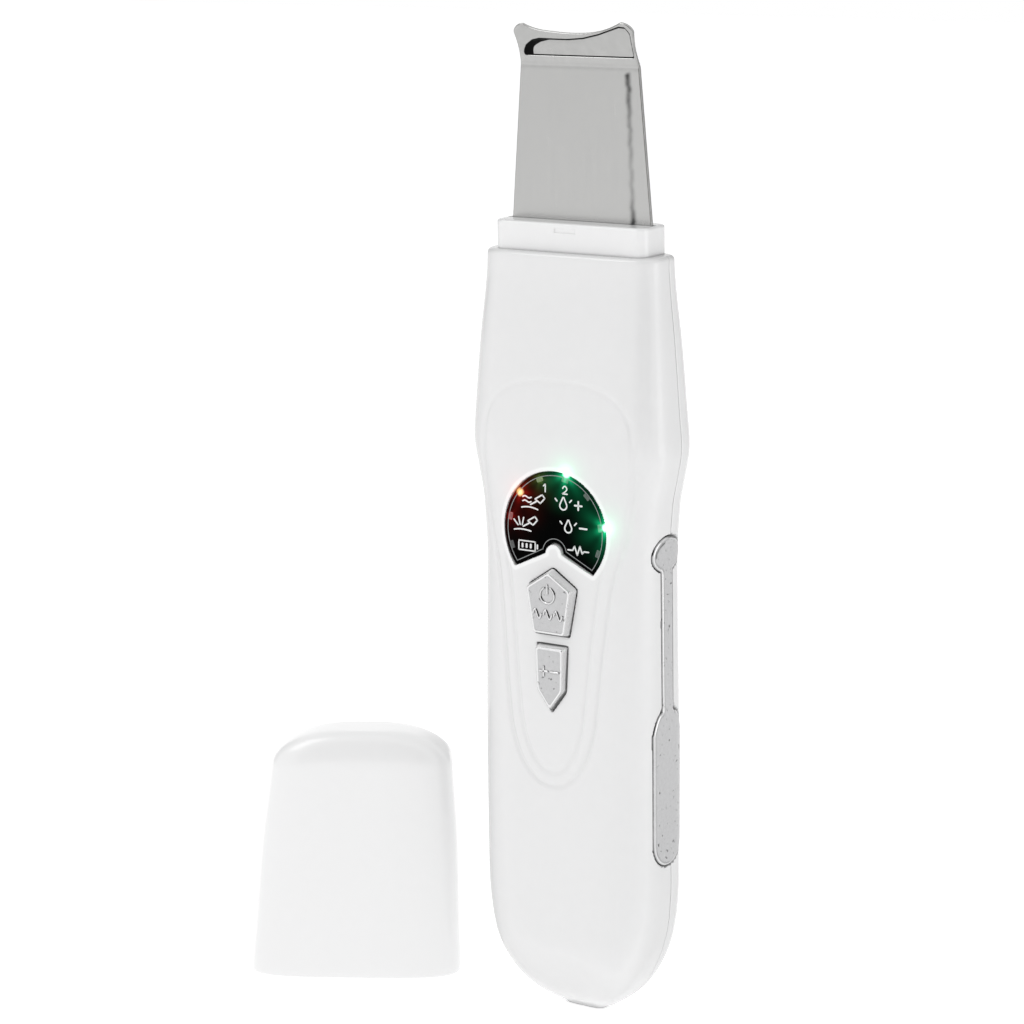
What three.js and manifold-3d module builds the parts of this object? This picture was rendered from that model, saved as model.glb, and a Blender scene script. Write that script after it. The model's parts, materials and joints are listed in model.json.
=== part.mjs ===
// A cordless ultrasonic skin scrubber, standing upright, with its protective cap beside it.
// Millimetres. +Z points up the device, -Y is the front with the display and the buttons.
// The origin is the centre of the small flat foot at the bottom end.
import * as THREE from 'three'
import { mergeVertices } from 'three/addons/utils/BufferGeometryUtils.js'
import Module from 'manifold-3d'

const wasm = await Module()
wasm.setup()

// ---------------------------------------------------------------- driving dimensions

const BODY_TOP = 142.2
const SEAM_Y = 0.5
const GAP = 0.3
const WALL = 1.5

// Cross-sections of the body: half width, depth in front of and behind Y = 0, and squareness.
const STATIONS = [
  { z: 28, half: 17.7, front: 12.2, rear: 6.6, power: 4.2 },
  { z: 60, half: 17.9, front: 11.6, rear: 7.0, power: 4.0 },
  { z: 86, half: 17.9, front: 10.5, rear: 7.0, power: 3.8 },
  { z: 97, half: 18.6, front: 10.0, rear: 6.95, power: 3.9 },
  { z: 102, half: 19.6, front: 9.75, rear: 6.9, power: 4.0 },
  { z: 108, half: 20.6, front: 9.5, rear: 6.8, power: 4.2 },
  { z: 114, half: 20.2, front: 9.0, rear: 6.5, power: 4.4 },
  { z: 125, half: 19.45, front: 7.9, rear: 5.9, power: 4.5 },
  { z: 142.2, half: 18.2, front: 6.1, rear: 4.8, power: 4.5 },
]
const HEEL = { widthRise: 27.5, widthPower: 2.2, depthRise: 15.7, depthPower: 1.75 }
const FOOT = { half: 4.2, front: 2.8, rear: 2.4 }
const SHOULDER_EDGE = 0.7
const CAVITY_BOTTOM = 2.6
const CAVITY_TOP = 139.5
const BODY_RING = 36
const CAVITY_RING = 24

const COLLAR_TOP = 147.4
const COLLAR = { half: 16.1, front: 4.4, rear: 4.0, corner: 2.2 }
const SPIGOT = { half: 14.9, front: 3.4, rear: 3.0, corner: 1.8, bottom: 137.3 }
const LIP = { half: 15.7, front: 3.9, rear: 3.0, corner: 1.8, top: 139.2 }

const BLADE = { y: 0.5, thick: 0.8, baseHalf: 15.03, base: 144.6, bendHalf: 12.5, bend: 175.1 }
const BLADE_ROOT = { half: 12.4, top: 143.6, bottom: 136.5, tongueHalf: 5, tongueTop: 133.4, end: 122.8 }
const BLADE_TIP = { angle: 20, waist: 12.15, hornHalf: 12.6, hornTop: 8.35, dip: 6.15 }

const WINDOW = { z: 92.5, y: -9.85, radius: 10.85, lean: -2.4, thick: 1.2, corner: 40.6 }
const NOTCH = { radius: 1.85, drop: 3.9 }
const LAMP = { radius: 9.5, width: 1.6, height: 1.0, deep: 0.6, well: 2.2 }
const LAMP_ANGLES = [200, 171, 142, 113, 77, 42, 8, -22]

const BUTTON = { face: -12.6, slope: 0.75, slopeHigh: 1.7, stem: 1.0, stemEnd: -8.0 }
const FLANGE = { front: -8.9, back: -8.2, grow: 1.6, between: 72.7 }
const POWER_BUTTON = [[-3.33, 74.0], [3.33, 74.0], [4.71, 82.3], [0, 85.4], [-4.71, 82.3]]
const MODE_BUTTON = [[-2.67, 63.5], [0, 59.9], [2.67, 63.5], [2.92, 71.4], [-2.92, 71.4]]
const SWITCH = { size: 4.6, front: -7.4, plungerRadius: 1.1, plungerFront: -7.95, plungerBack: -6.9 }
const POWER_SWITCH_Z = 79.2
const MODE_SWITCH_Z = 67.4

const BOARD = { half: 11.5, bottom: 56, top: 105, front: -6.2, thick: 1.0 }

const STRIP = {
  y: -0.7, stem: 1.85, pad: 4.8, padTop: 59.5, padFull: 55.6,
  head: 4.55, headTall: 3.35, headZ: 88.6,
}
const STRIP_PAD_BOTTOM = { z: 34.9, drop: 4.8 }
const STRIP_OUT = 0.12
const STRIP_IN = 0.65
const CONTACT_POST = { z: 46, half: 1.0, inner: 14.6 }

const BATTERY = { half: 12.5, bottom: 30, top: 84, front: -2.4, rear: 4.2, corner: 3 }
const BATTERY_PAD = { half: 9, bottom: 38, top: 78, front: 4.25, rear: 4.85 }

const SOCKET = { half: 3.75, front: 2.0, rear: 4.6, bottom: 6.2, top: 11.8, hollow: 0.35 }
const CHARGE_BOARD = { half: 6.5, front: 0.9, rear: 1.9, bottom: 5.6, top: 17 }

const HORN = { wide: 4.2, slim: 3.5, bottom: 108, step: 115, top: 134, flat: 2.9, slotBottom: 122 }
const SLEEVE = { inner: 4.3, outer: 5.1, bottom: 109.5, top: 113.5 }
const PIEZO = { outer: 4.2, inner: 1.8, thick: 2.3, zs: [105.3, 102.7] }
const REAR_MASS = { outer: 4.2, inner: 1.75, bottom: 96.6, top: 102.4 }
const BOLT = { shaft: 1.5, head: 2.75, headBottom: 93.8, headTop: 96.3, top: 117.5, bottomOfHole: 118.4 }
const BLADE_SCREW = { shaft: 0.9, head: 1.7, headHigh: 1.1, zs: [125.4, 130.6] }

const SHELL_SCREW = { shaft: 1.1, head: 2.0, headHigh: 1.3, long: 8 }
const SHELL_SCREWS = [
  { x: -11.5, z: 21, seat: 3.2 },
  { x: 11.5, z: 21, seat: 3.2 },
  { x: -12.5, z: 127, seat: 2.5 },
  { x: 12.5, z: 127, seat: 2.5 },
]
const BOSS = { radius: 2.6, bore: 1.4, counterbore: 2.3, deep: 6 }

const RATING_FLAT = { half: 8.5, bottom: 44, top: 72, y: 6.55 }

const CAP = { x: -49.1, y: -7.8, turn: 29.5, height: 48.4, wall: 1.7, lean: 0.054, ring: 32 }
const CAP_STATIONS = [
  { z: 0, half: 20.5, depth: 7.6 },
  { z: 8, half: 20.05, depth: 7.4 },
  { z: 24, half: 19.2, depth: 7.0 },
  { z: 48, half: 17.25, depth: 6.4 },
]
const CAP_DOME = { rise: 7.4, power: 2.1, narrow: 13.4, thin: 3.2 }
const CAP_POWER = 3.7

const LEAD_RADIUS = 0.55

// ---------------------------------------------------------------- materials

function finish(color, roughness, metalness) {
  return new THREE.MeshStandardMaterial({ color, roughness, metalness })
}

const white = () => finish(0xf1f2f3, 0.22, 0)
const satinWhite = () => finish(0xeceded, 0.5, 0)
const chrome = () => finish(0xd2d4d6, 0.12, 1)
const steel = () => finish(0xb9bbbd, 0.3, 1)
const black = () => finish(0x0b0d0e, 0.08, 0)
const boardGreen = () => finish(0x1d5a35, 0.5, 0)
const rubber = () => finish(0x8d9094, 0.8, 0)
const ceramic = () => finish(0xd9d2bf, 0.5, 0)
const foil = () => finish(0xc9ccd0, 0.35, 0.6)
const insulation = (color) => finish(color, 0.5, 0)

// ---------------------------------------------------------------- solids and placing

const X = new THREE.Vector3(1, 0, 0)
const Y = new THREE.Vector3(0, 1, 0)
const Z = new THREE.Vector3(0, 0, 1)

// A closed geometry becomes a solid that can be cut and joined.
function solid(geometry) {
  const bare = geometry.clone()
  bare.deleteAttribute('normal')
  bare.deleteAttribute('uv')
  const merged = mergeVertices(bare, 1e-4)
  return new wasm.Manifold(new wasm.Mesh({
    numProp: 3,
    vertProperties: new Float32Array(merged.attributes.position.array),
    triVerts: new Uint32Array(merged.index.array),
  }))
}

function toGeometry(manifold) {
  const mesh = manifold.getMesh()
  const geometry = new THREE.BufferGeometry()
  geometry.setAttribute('position', new THREE.BufferAttribute(mesh.vertProperties, 3))
  geometry.setIndex(new THREE.BufferAttribute(mesh.triVerts, 1))
  geometry.computeVertexNormals()
  return geometry
}

function piece(name, shape, material) {
  const geometry = shape instanceof THREE.BufferGeometry ? shape : toGeometry(shape)
  const mesh = new THREE.Mesh(geometry, material)
  mesh.name = name
  return mesh
}

// A box between two corners.
function block(low, high) {
  const size = high.map((value, i) => value - low[i])
  const geometry = new THREE.BoxGeometry(...size)
  geometry.translate(...low.map((value, i) => value + size[i] / 2))
  return geometry
}

// A flat outline drawn in X and Z, from Y = back forward (towards -Y) to Y = front.
function plateFacingFront(outline, front, back, curveSegments = 12) {
  const geometry = new THREE.ExtrudeGeometry(outline, {
    depth: back - front, bevelEnabled: false, curveSegments,
  })
  geometry.applyMatrix4(new THREE.Matrix4().makeBasis(X, Z, Y.clone().negate()))
  geometry.translate(0, back, 0)
  return geometry
}

// A flat outline drawn in Y and Z, from X = low to X = high.
function plateFacingSide(outline, low, high) {
  const geometry = new THREE.ExtrudeGeometry(outline, {
    depth: high - low, bevelEnabled: false, curveSegments: 8,
  })
  geometry.applyMatrix4(new THREE.Matrix4().makeBasis(Y, Z, X))
  geometry.translate(low, 0, 0)
  return geometry
}

// A flat outline drawn in X and Y, from Z = low to Z = high.
function plateFacingUp(outline, low, high) {
  const geometry = new THREE.ExtrudeGeometry(outline, {
    depth: high - low, bevelEnabled: false, curveSegments: 5,
  })
  geometry.translate(0, 0, low)
  return geometry
}

// A rounded rectangle in X and Y; front and rear are distances from Y = 0.
function roundedRectangle({ half, front, rear, corner }, grow = 0) {
  const right = half + grow
  const low = -front - grow
  const high = rear + grow
  const shape = new THREE.Shape()
  shape.moveTo(-right + corner, low)
  shape.lineTo(right - corner, low)
  shape.absarc(right - corner, low + corner, corner, -Math.PI / 2, 0, false)
  shape.absarc(right - corner, high - corner, corner, 0, Math.PI / 2, false)
  shape.absarc(-right + corner, high - corner, corner, Math.PI / 2, Math.PI, false)
  shape.absarc(-right + corner, low + corner, corner, Math.PI, Math.PI * 1.5, false)
  return shape
}

// A polygon moved outward by grow on every side, as a shape.
function polygon(points, grow = 0) {
  const count = points.length
  const moved = points.map((point, i) => {
    const before = points[(i + count - 1) % count]
    const after = points[(i + 1) % count]
    const into = new THREE.Vector2(point[0] - before[0], point[1] - before[1]).normalize()
    const out = new THREE.Vector2(after[0] - point[0], after[1] - point[1]).normalize()
    const normalIn = new THREE.Vector2(into.y, -into.x)
    const normalOut = new THREE.Vector2(out.y, -out.x)
    const miter = normalIn.clone().add(normalOut).divideScalar(1 + normalIn.dot(normalOut))
    return new THREE.Vector2(point[0], point[1]).addScaledVector(miter, grow)
  })
  return new THREE.Shape(moved)
}

// A rod along Z between two heights.
function rod(radius, low, high, sides = 24) {
  const geometry = new THREE.CylinderGeometry(radius, radius, high - low, sides)
  geometry.rotateX(Math.PI / 2)
  geometry.translate(0, 0, (low + high) / 2)
  return geometry
}

// A rod along Y at a given X and Z.
function rodThrough(radius, x, z, front, rear, sides = 16) {
  const geometry = new THREE.CylinderGeometry(radius, radius, rear - front, sides)
  geometry.translate(x, (front + rear) / 2, z)
  return geometry
}

// A ring round Z, turned from a closed rectangular profile.
function ring(inner, outer, low, high, sides = 24) {
  const profile = [[inner, low], [outer, low], [outer, high], [inner, high], [inner, low]]
  const geometry = new THREE.LatheGeometry(profile.map((p) => new THREE.Vector2(...p)), sides)
  geometry.rotateX(Math.PI / 2)
  return geometry
}

// ---------------------------------------------------------------- lofted forms

// Smooth value of one station property at height z, without overshoot between stations.
function along(stations, key, z) {
  const last = stations.length - 1
  if (z <= stations[0].z) return stations[0][key]
  if (z >= stations[last].z) return stations[last][key]
  const slope = (i) => (stations[i + 1][key] - stations[i][key]) / (stations[i + 1].z - stations[i].z)
  const tangent = (i) => {
    if (i === 0 || i === last) return 0
    const product = slope(i - 1) * slope(i)
    return product > 0 ? (2 * product) / (slope(i - 1) + slope(i)) : 0
  }
  const i = stations.findIndex((station, k) => k < last && z < stations[k + 1].z)
  const span = stations[i + 1].z - stations[i].z
  const t = (z - stations[i].z) / span
  const rise = t * t * (3 - 2 * t)
  const leave = t * (1 - t) * (1 - t)
  const arrive = t * t * (t - 1)
  return stations[i][key] * (1 - rise) + stations[i + 1][key] * rise
    + span * (leave * tangent(i) + arrive * tangent(i + 1))
}

// A closed body through superelliptic sections {z, half, front, rear, power, shift}.
function loft(sections, count) {
  const positions = []
  const index = []
  const side = (value, power) => Math.sign(value) * Math.abs(value) ** (2 / power)
  for (const { z, half, front, rear, power, shift = 0 } of sections) {
    for (let i = 0; i < count; i += 1) {
      const angle = (2 * Math.PI * (i + 0.5)) / count
      const depth = Math.sin(angle) < 0 ? front : rear
      positions.push(shift + half * side(Math.cos(angle), power), depth * side(Math.sin(angle), power), z)
    }
  }
  for (let row = 0; row < sections.length - 1; row += 1) {
    for (let i = 0; i < count; i += 1) {
      const a = row * count + i
      const b = row * count + ((i + 1) % count)
      index.push(a, b, b + count, a, b + count, a + count)
    }
  }
  const top = (sections.length - 1) * count
  for (let i = 1; i < count - 1; i += 1) {
    index.push(0, i + 1, i)
    index.push(top, top + i, top + i + 1)
  }
  const geometry = new THREE.BufferGeometry()
  geometry.setAttribute('position', new THREE.Float32BufferAttribute(positions, 3))
  geometry.setIndex(index)
  return geometry
}

// How far the heel's rounding has opened at height z, from 0 at the tip to 1.
function heelOpening(z, rise, power) {
  const left = Math.max(0, 1 - z / rise)
  return (1 - left ** power) ** (1 / power)
}

function bodySection(z, inset = 0) {
  const width = heelOpening(z, HEEL.widthRise, HEEL.widthPower)
  const depth = heelOpening(z, HEEL.depthRise, HEEL.depthPower)
  const edge = Math.max(0, z - (BODY_TOP - SHOULDER_EDGE))
  return {
    z,
    half: Math.max(FOOT.half, along(STATIONS, 'half', z) * width) - inset - edge,
    front: Math.max(FOOT.front, along(STATIONS, 'front', z) * depth) - inset - edge,
    rear: Math.max(FOOT.rear, along(STATIONS, 'rear', z) * depth) - inset - edge,
    power: along(STATIONS, 'power', z),
  }
}

const BODY_HEIGHTS = [0, 0.7, 1.9, 3.8, 6.6, 10.5, 16, 23, 32, 46, 60, 74, 86,
  93, 98, 102.5, 108, 113, 120, 130, BODY_TOP - SHOULDER_EDGE, BODY_TOP]
const CAVITY_HEIGHTS = [0, 2.2, 5, 9, 15, 24, 40, 60, 84, 96, 103, 108, 114, 126, 137]

function bodySolid() {
  return solid(loft(BODY_HEIGHTS.map((z) => bodySection(z)), BODY_RING))
}

// The hollow inside the shells; each inner section sits a little above its outer one.
function cavitySolid() {
  const sections = CAVITY_HEIGHTS.map((z, i) => {
    const height = i === 0 ? CAVITY_BOTTOM : Math.min(z + CAVITY_BOTTOM, CAVITY_TOP)
    return { ...bodySection(z + 1.2, WALL), z: height }
  })
  return solid(loft(sections, CAVITY_RING))
}

// ---------------------------------------------------------------- outlines

// The fan-shaped display: most of a disc, with a round notch between its lower corners.
function fanOutline(radius, grow = 0) {
  const corner = THREE.MathUtils.degToRad(WINDOW.corner)
  const notch = NOTCH.radius - grow
  const outline = new THREE.Shape()
  outline.moveTo(notch, -NOTCH.drop - grow)
  outline.absarc(0, 0, radius + grow, -corner, Math.PI + corner, false)
  outline.lineTo(-notch, -NOTCH.drop - grow)
  outline.absarc(0, -NOTCH.drop - grow, notch, Math.PI, 0, true)
  return outline
}

// The hand-contact strip: an oval head, a narrow stem and a long round-ended pad.
function stripOutline(grow = 0) {
  const stem = STRIP.stem + grow
  const pad = STRIP.pad + grow
  const head = STRIP.head + grow
  const meet = Math.asin(stem / head)
  const outline = new THREE.Shape()
  outline.moveTo(STRIP.y + pad, STRIP_PAD_BOTTOM.z)
  outline.lineTo(STRIP.y + pad, STRIP.padFull)
  outline.quadraticCurveTo(STRIP.y + pad, STRIP.padTop, STRIP.y + stem, STRIP.padTop + grow)
  const tall = STRIP.headTall + grow
  outline.absellipse(STRIP.y, STRIP.headZ, head, tall, -Math.PI / 2 + meet, Math.PI * 1.5 - meet, false, 0)
  outline.lineTo(STRIP.y - stem, STRIP.padTop + grow)
  outline.quadraticCurveTo(STRIP.y - pad, STRIP.padTop, STRIP.y - pad, STRIP.padFull)
  outline.lineTo(STRIP.y - pad, STRIP_PAD_BOTTOM.z)
  const drop = STRIP_PAD_BOTTOM.drop + grow
  outline.absellipse(STRIP.y, STRIP_PAD_BOTTOM.z, pad, drop, Math.PI, 2 * Math.PI, false, 0)
  return outline
}

// ---------------------------------------------------------------- shells

function leanWindow(geometry) {
  geometry.translate(0, -WINDOW.y, -WINDOW.z)
  geometry.rotateX(THREE.MathUtils.degToRad(WINDOW.lean))
  geometry.translate(0, WINDOW.y, WINDOW.z)
  return geometry
}

function windowPlate(grow, front, back) {
  const geometry = plateFacingFront(fanOutline(WINDOW.radius, grow), front, back)
  geometry.translate(0, 0, WINDOW.z)
  return leanWindow(geometry)
}

// The space that a strip and its contact post take up in one side of the body.
function stripSpace(side, outset, inset, grow) {
  const low = side > 0 ? CONTACT_POST.inner - GAP : -30
  const high = side > 0 ? 30 : -CONTACT_POST.inner + GAP
  const band = solid(loft(BODY_HEIGHTS.slice(7, 15).map((z) => bodySection(z, -outset)), BODY_RING))
    .subtract(solid(loft(BODY_HEIGHTS.slice(6, 16).map((z) => bodySection(z, inset)), BODY_RING)))
  const strip = band.intersect(solid(plateFacingSide(stripOutline(grow), low, high)))
  const { z, half, inner } = CONTACT_POST
  const reach = 17.4
  const wide = half + grow
  const ends = side > 0 ? [inner, reach] : [-reach, -inner]
  const post = block([ends[0], STRIP.y - wide, z - wide], [ends[1], STRIP.y + wide, z + wide])
  return strip.add(solid(post))
}

function hollowBody() {
  let body = bodySolid().subtract(cavitySolid())
  const neck = plateFacingUp(roundedRectangle(SPIGOT, GAP), CAVITY_TOP - 1, BODY_TOP + 1)
  body = body.subtract(solid(neck))
  for (const side of [-1, 1]) {
    body = body.subtract(stripSpace(side, 1, STRIP_IN + GAP, GAP / 2))
  }
  return body
}

const hollow = hollowBody()

function keepSide(front) {
  const reach = 60
  const edge = SEAM_Y + (front ? -GAP / 2 : GAP / 2)
  const low = front ? -reach : edge
  const high = front ? edge : reach
  return solid(block([-reach, low, -reach], [reach, high, 3 * reach]))
}

function frontShell() {
  let shell = hollow.intersect(keepSide(true))
  const inside = bodySolid().intersect(keepSide(true))
  for (const { x, z } of SHELL_SCREWS) {
    shell = shell.add(inside.intersect(solid(rodThrough(BOSS.radius, x, z, -20, 20))))
  }
  for (const { x, z } of SHELL_SCREWS) {
    shell = shell.subtract(solid(rodThrough(BOSS.bore, x, z, -BOSS.deep, 20)))
  }
  shell = shell.subtract(solid(windowPlate(GAP, -20, WINDOW.y + 6)))
  for (const outline of [POWER_BUTTON, MODE_BUTTON]) {
    shell = shell.subtract(solid(plateFacingFront(polygon(outline, BUTTON.slope + GAP), -20, -6)))
  }
  return piece('front_shell', shell, white())
}

function rearShell() {
  let shell = hollow.intersect(keepSide(false))
  const inside = bodySolid().intersect(keepSide(false))
  for (const { x, z } of SHELL_SCREWS) {
    shell = shell.add(inside.intersect(solid(rodThrough(BOSS.radius, x, z, -20, 20))))
  }
  for (const { x, z, seat } of SHELL_SCREWS) {
    shell = shell.subtract(solid(rodThrough(BOSS.bore, x, z, -20, 20)))
    shell = shell.subtract(solid(rodThrough(BOSS.counterbore, x, z, seat, 20)))
  }
  const { half, bottom, top, y } = RATING_FLAT
  shell = shell.subtract(solid(block([-half, y, bottom], [half, y + 9, top])))
  const mouth = SOCKET.half + GAP
  shell = shell.subtract(solid(block(
    [-mouth, SOCKET.front - GAP, -1],
    [mouth, SOCKET.rear + GAP, SOCKET.top + GAP],
  )))
  return piece('rear_shell', shell, white())
}

function shellScrews() {
  return SHELL_SCREWS.map(({ x, z, seat }, i) => {
    const { shaft, head, headHigh, long } = SHELL_SCREW
    const under = seat + 0.05
    const screw = solid(rodThrough(head, 0, 0, under, under + headHigh))
      .add(solid(rodThrough(shaft, 0, 0, under - long, under + 0.2, 12)))
      .subtract(solid(block([-1.3, under + 0.6, -0.25], [1.3, under + 2, 0.25])))
      .subtract(solid(block([-0.25, under + 0.6, -1.3], [0.25, under + 2, 1.3])))
    const mesh = piece(`shell_screw_${i + 1}`, screw, steel())
    mesh.position.set(x, 0, z)
    return mesh
  })
}

// ---------------------------------------------------------------- neck and blade

function neckCollar() {
  const outside = solid(plateFacingUp(roundedRectangle(COLLAR), BODY_TOP + GAP, COLLAR_TOP))
    .add(solid(plateFacingUp(roundedRectangle(SPIGOT), SPIGOT.bottom, COLLAR_TOP - 1)))
    .add(solid(plateFacingUp(roundedRectangle(LIP), SPIGOT.bottom, LIP.top)))
  const slotHigh = bladeSlot(BLADE.baseHalf + 0.35, 0.65, BLADE_ROOT.top, COLLAR_TOP + 1)
  const slotLow = bladeSlot(BLADE_ROOT.half + 0.4, 0.65, SPIGOT.bottom - 1, COLLAR_TOP)
  const sealPocket = block([-13.7, -1.7, SPIGOT.bottom - 1], [13.7, 2.7, 141])
  const collar = outside.subtract(solid(slotHigh)).subtract(solid(slotLow)).subtract(solid(sealPocket))
  return piece('neck_collar', collar, white())
}

function bladeSlot(half, clear, low, high) {
  return block([-half, BLADE.y - clear, low], [half, BLADE.y + clear, high])
}

function bladeSeal() {
  const seal = solid(block([-13.4, -1.4, SPIGOT.bottom], [13.4, 2.4, 140.7]))
    .subtract(solid(bladeSlot(BLADE_ROOT.half + 0.3, 0.6, 130, 145)))
  return piece('blade_seal', seal, rubber())
}

function bladeOutline() {
  const { baseHalf, base, bendHalf, bend } = BLADE
  const root = BLADE_ROOT
  const right = [
    [root.tongueHalf, root.end], [root.tongueHalf, root.tongueTop], [root.half, root.bottom],
    [root.half, root.top + 0.4], [baseHalf, base], [bendHalf, bend],
  ]
  const left = right.map(([x, z]) => [-x, z]).reverse()
  return polygon([...right, ...left])
}

// The bent tip seen from the front: two horns with a concave edge between them.
function tipOutline() {
  const { waist, hornHalf, hornTop, dip } = BLADE_TIP
  const half = BLADE.bendHalf
  const outline = new THREE.Shape()
  outline.moveTo(-half, -0.3)
  outline.lineTo(half, -0.3)
  outline.quadraticCurveTo(waist, 3, hornHalf, 6.6)
  outline.quadraticCurveTo(hornHalf - 0.3, hornTop - 0.4, hornHalf - 2.2, hornTop)
  outline.bezierCurveTo(hornHalf - 4.6, dip + 0.6, 4, dip, 0, dip)
  outline.bezierCurveTo(-4, dip, -hornHalf + 4.6, dip + 0.6, -hornHalf + 2.2, hornTop)
  outline.quadraticCurveTo(-hornHalf + 0.3, hornTop - 0.4, -hornHalf, 6.6)
  outline.quadraticCurveTo(-waist, 3, -half, -0.3)
  return outline
}

function scraperBlade() {
  const { y, thick, bend, bendHalf } = BLADE
  const front = y - thick / 2
  const back = y + thick / 2
  const tip = plateFacingFront(tipOutline(), -thick / 2, thick / 2, 8)
  tip.rotateX(THREE.MathUtils.degToRad(BLADE_TIP.angle))
  tip.translate(0, y, bend)
  const fold = new THREE.CylinderGeometry(thick / 2, thick / 2, 2 * bendHalf, 12)
  fold.rotateZ(Math.PI / 2)
  fold.translate(0, y, bend)
  let blade = solid(plateFacingFront(bladeOutline(), front, back)).add(solid(tip)).add(solid(fold))
  for (const z of BLADE_SCREW.zs) {
    blade = blade.subtract(solid(rodThrough(BLADE_SCREW.shaft + 0.25, 0, z, -5, 5)))
  }
  return piece('scraper_blade', blade, steel())
}

// ---------------------------------------------------------------- display, lamps and board

function displayWindow() {
  return piece('display_window', windowPlate(0, WINDOW.y, WINDOW.y + WINDOW.thick), black())
}

function lampPlace(angle) {
  const turn = THREE.MathUtils.degToRad(angle)
  return { x: LAMP.radius * Math.cos(turn), z: WINDOW.z + LAMP.radius * Math.sin(turn) }
}

function lightGuide() {
  let guide = solid(windowPlate(0, WINDOW.y + WINDOW.thick + 0.2, WINDOW.y + 2.6))
  for (const angle of LAMP_ANGLES) {
    const { x, z } = lampPlace(angle)
    const half = LAMP.well / 2
    guide = guide.subtract(solid(block([x - half, -12, z - half], [x + half, -3, z + half])))
  }
  return piece('light_guide', guide, satinWhite())
}

function lamps() {
  return LAMP_ANGLES.map((angle, i) => {
    const { x, z } = lampPlace(angle)
    const { width, height, deep } = LAMP
    const mesh = piece(`led_${i + 1}`, new THREE.BoxGeometry(width, deep, height), satinWhite())
    mesh.position.set(x, BOARD.front - deep / 2 - 0.02, z)
    return mesh
  })
}

function mainBoard() {
  const { half, bottom, top, front, thick } = BOARD
  return piece('main_board', block([-half, front, bottom], [half, front + thick, top]), boardGreen())
}

function tactSwitch(name, z) {
  const half = SWITCH.size / 2
  const body = solid(block([-half, SWITCH.front, z - half], [half, BOARD.front - 0.02, z + half]))
    .subtract(solid(rodThrough(SWITCH.plungerRadius + 0.15, 0, z, -12, BOARD.front - 0.25)))
  return piece(name, body, black())
}

function plunger(name, z) {
  const { plungerRadius, plungerFront, plungerBack } = SWITCH
  return piece(name, rodThrough(plungerRadius, 0, z, plungerFront, plungerBack), satinWhite())
}

// The outline is the flat face; the sides slope outward from it, and a flange behind the
// shell keeps the button in. The two flanges meet at a line between the buttons.
function button(name, outline, z) {
  const { face, slope, slopeHigh, stem, stemEnd } = BUTTON
  const crown = new THREE.ExtrudeGeometry(polygon(outline), {
    depth: 0.5, bevelThickness: slopeHigh, bevelSize: slope, bevelSegments: 1,
  })
  crown.applyMatrix4(new THREE.Matrix4().makeBasis(X, Z, Y.clone().negate()))
  crown.translate(0, face + slopeHigh + 0.5, 0)
  const shaft = plateFacingFront(polygon(outline, slope), face + slopeHigh, FLANGE.back)
  const ownSide = z > FLANGE.between ? [FLANGE.between + GAP / 2, 100] : [0, FLANGE.between - GAP / 2]
  const flange = solid(plateFacingFront(polygon(outline, FLANGE.grow), FLANGE.front, FLANGE.back))
    .intersect(solid(block([-20, -20, ownSide[0]], [20, 0, ownSide[1]])))
  const push = rodThrough(stem, 0, z, FLANGE.front, stemEnd, 12)
  const body = solid(crown).add(solid(shaft)).add(flange).add(solid(push))
  return piece(name, body, chrome())
}

// ---------------------------------------------------------------- hand contacts

function sideElectrode(name, side) {
  return piece(name, stripSpace(side, STRIP_OUT, STRIP_IN, 0), chrome())
}

// ---------------------------------------------------------------- transducer

function transducerHorn() {
  const { wide, slim, bottom, step, top, flat, slotBottom } = HORN
  let horn = solid(rod(wide, bottom, step)).add(solid(rod(slim, step - 1, top)))
  for (const side of [-1, 1]) {
    const near = side * flat
    const far = side * 9
    const low = Math.min(near, far)
    const high = Math.max(near, far)
    horn = horn.subtract(solid(block([-9, low, slotBottom], [9, high, top + 1])))
  }
  horn = horn.subtract(solid(bladeSlot(9, BLADE.thick / 2 + 0.15, slotBottom, top + 1)))
  horn = horn.subtract(solid(rod(BOLT.shaft + 0.15, bottom - 1, BOLT.bottomOfHole)))
  for (const z of BLADE_SCREW.zs) {
    horn = horn.subtract(solid(rodThrough(BLADE_SCREW.shaft + 0.15, 0, z, -5, 5)))
  }
  return piece('transducer_horn', horn, finish(0xc4c7c9, 0.35, 1))
}

function bladeScrews() {
  const { shaft, head, headHigh, zs } = BLADE_SCREW
  return zs.map((z, i) => {
    const top = -HORN.flat - 0.05
    const screw = solid(rodThrough(head, 0, 0, top - headHigh, top))
      .add(solid(rodThrough(shaft, 0, 0, top - 0.4, HORN.flat, 12)))
      .subtract(solid(block([-1.1, top - 2, -0.22], [1.1, top - 0.5, 0.22])))
    const mesh = piece(`blade_screw_${i + 1}`, screw, steel())
    mesh.position.z = z
    return mesh
  })
}

function prestressBolt() {
  const { shaft, head, headBottom, headTop, top } = BOLT
  const bolt = solid(rod(head, headBottom, headTop, 6)).add(solid(rod(shaft, headTop - 0.5, top, 16)))
  return piece('prestress_bolt', bolt, steel())
}

function transducerStack() {
  const rings = PIEZO.zs.map((z, i) => {
    const geometry = ring(PIEZO.inner, PIEZO.outer, z, z + PIEZO.thick)
    return piece(`piezo_ring_${i + 1}`, geometry, ceramic())
  })
  const mass = ring(REAR_MASS.inner, REAR_MASS.outer, REAR_MASS.bottom, REAR_MASS.top)
  const sleeve = ring(SLEEVE.inner, SLEEVE.outer, SLEEVE.bottom, SLEEVE.top)
  return [
    transducerHorn(),
    ...rings,
    piece('rear_mass', mass, steel()),
    prestressBolt(),
    piece('horn_sleeve', sleeve, rubber()),
    ...bladeScrews(),
  ]
}

// ---------------------------------------------------------------- power

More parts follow.
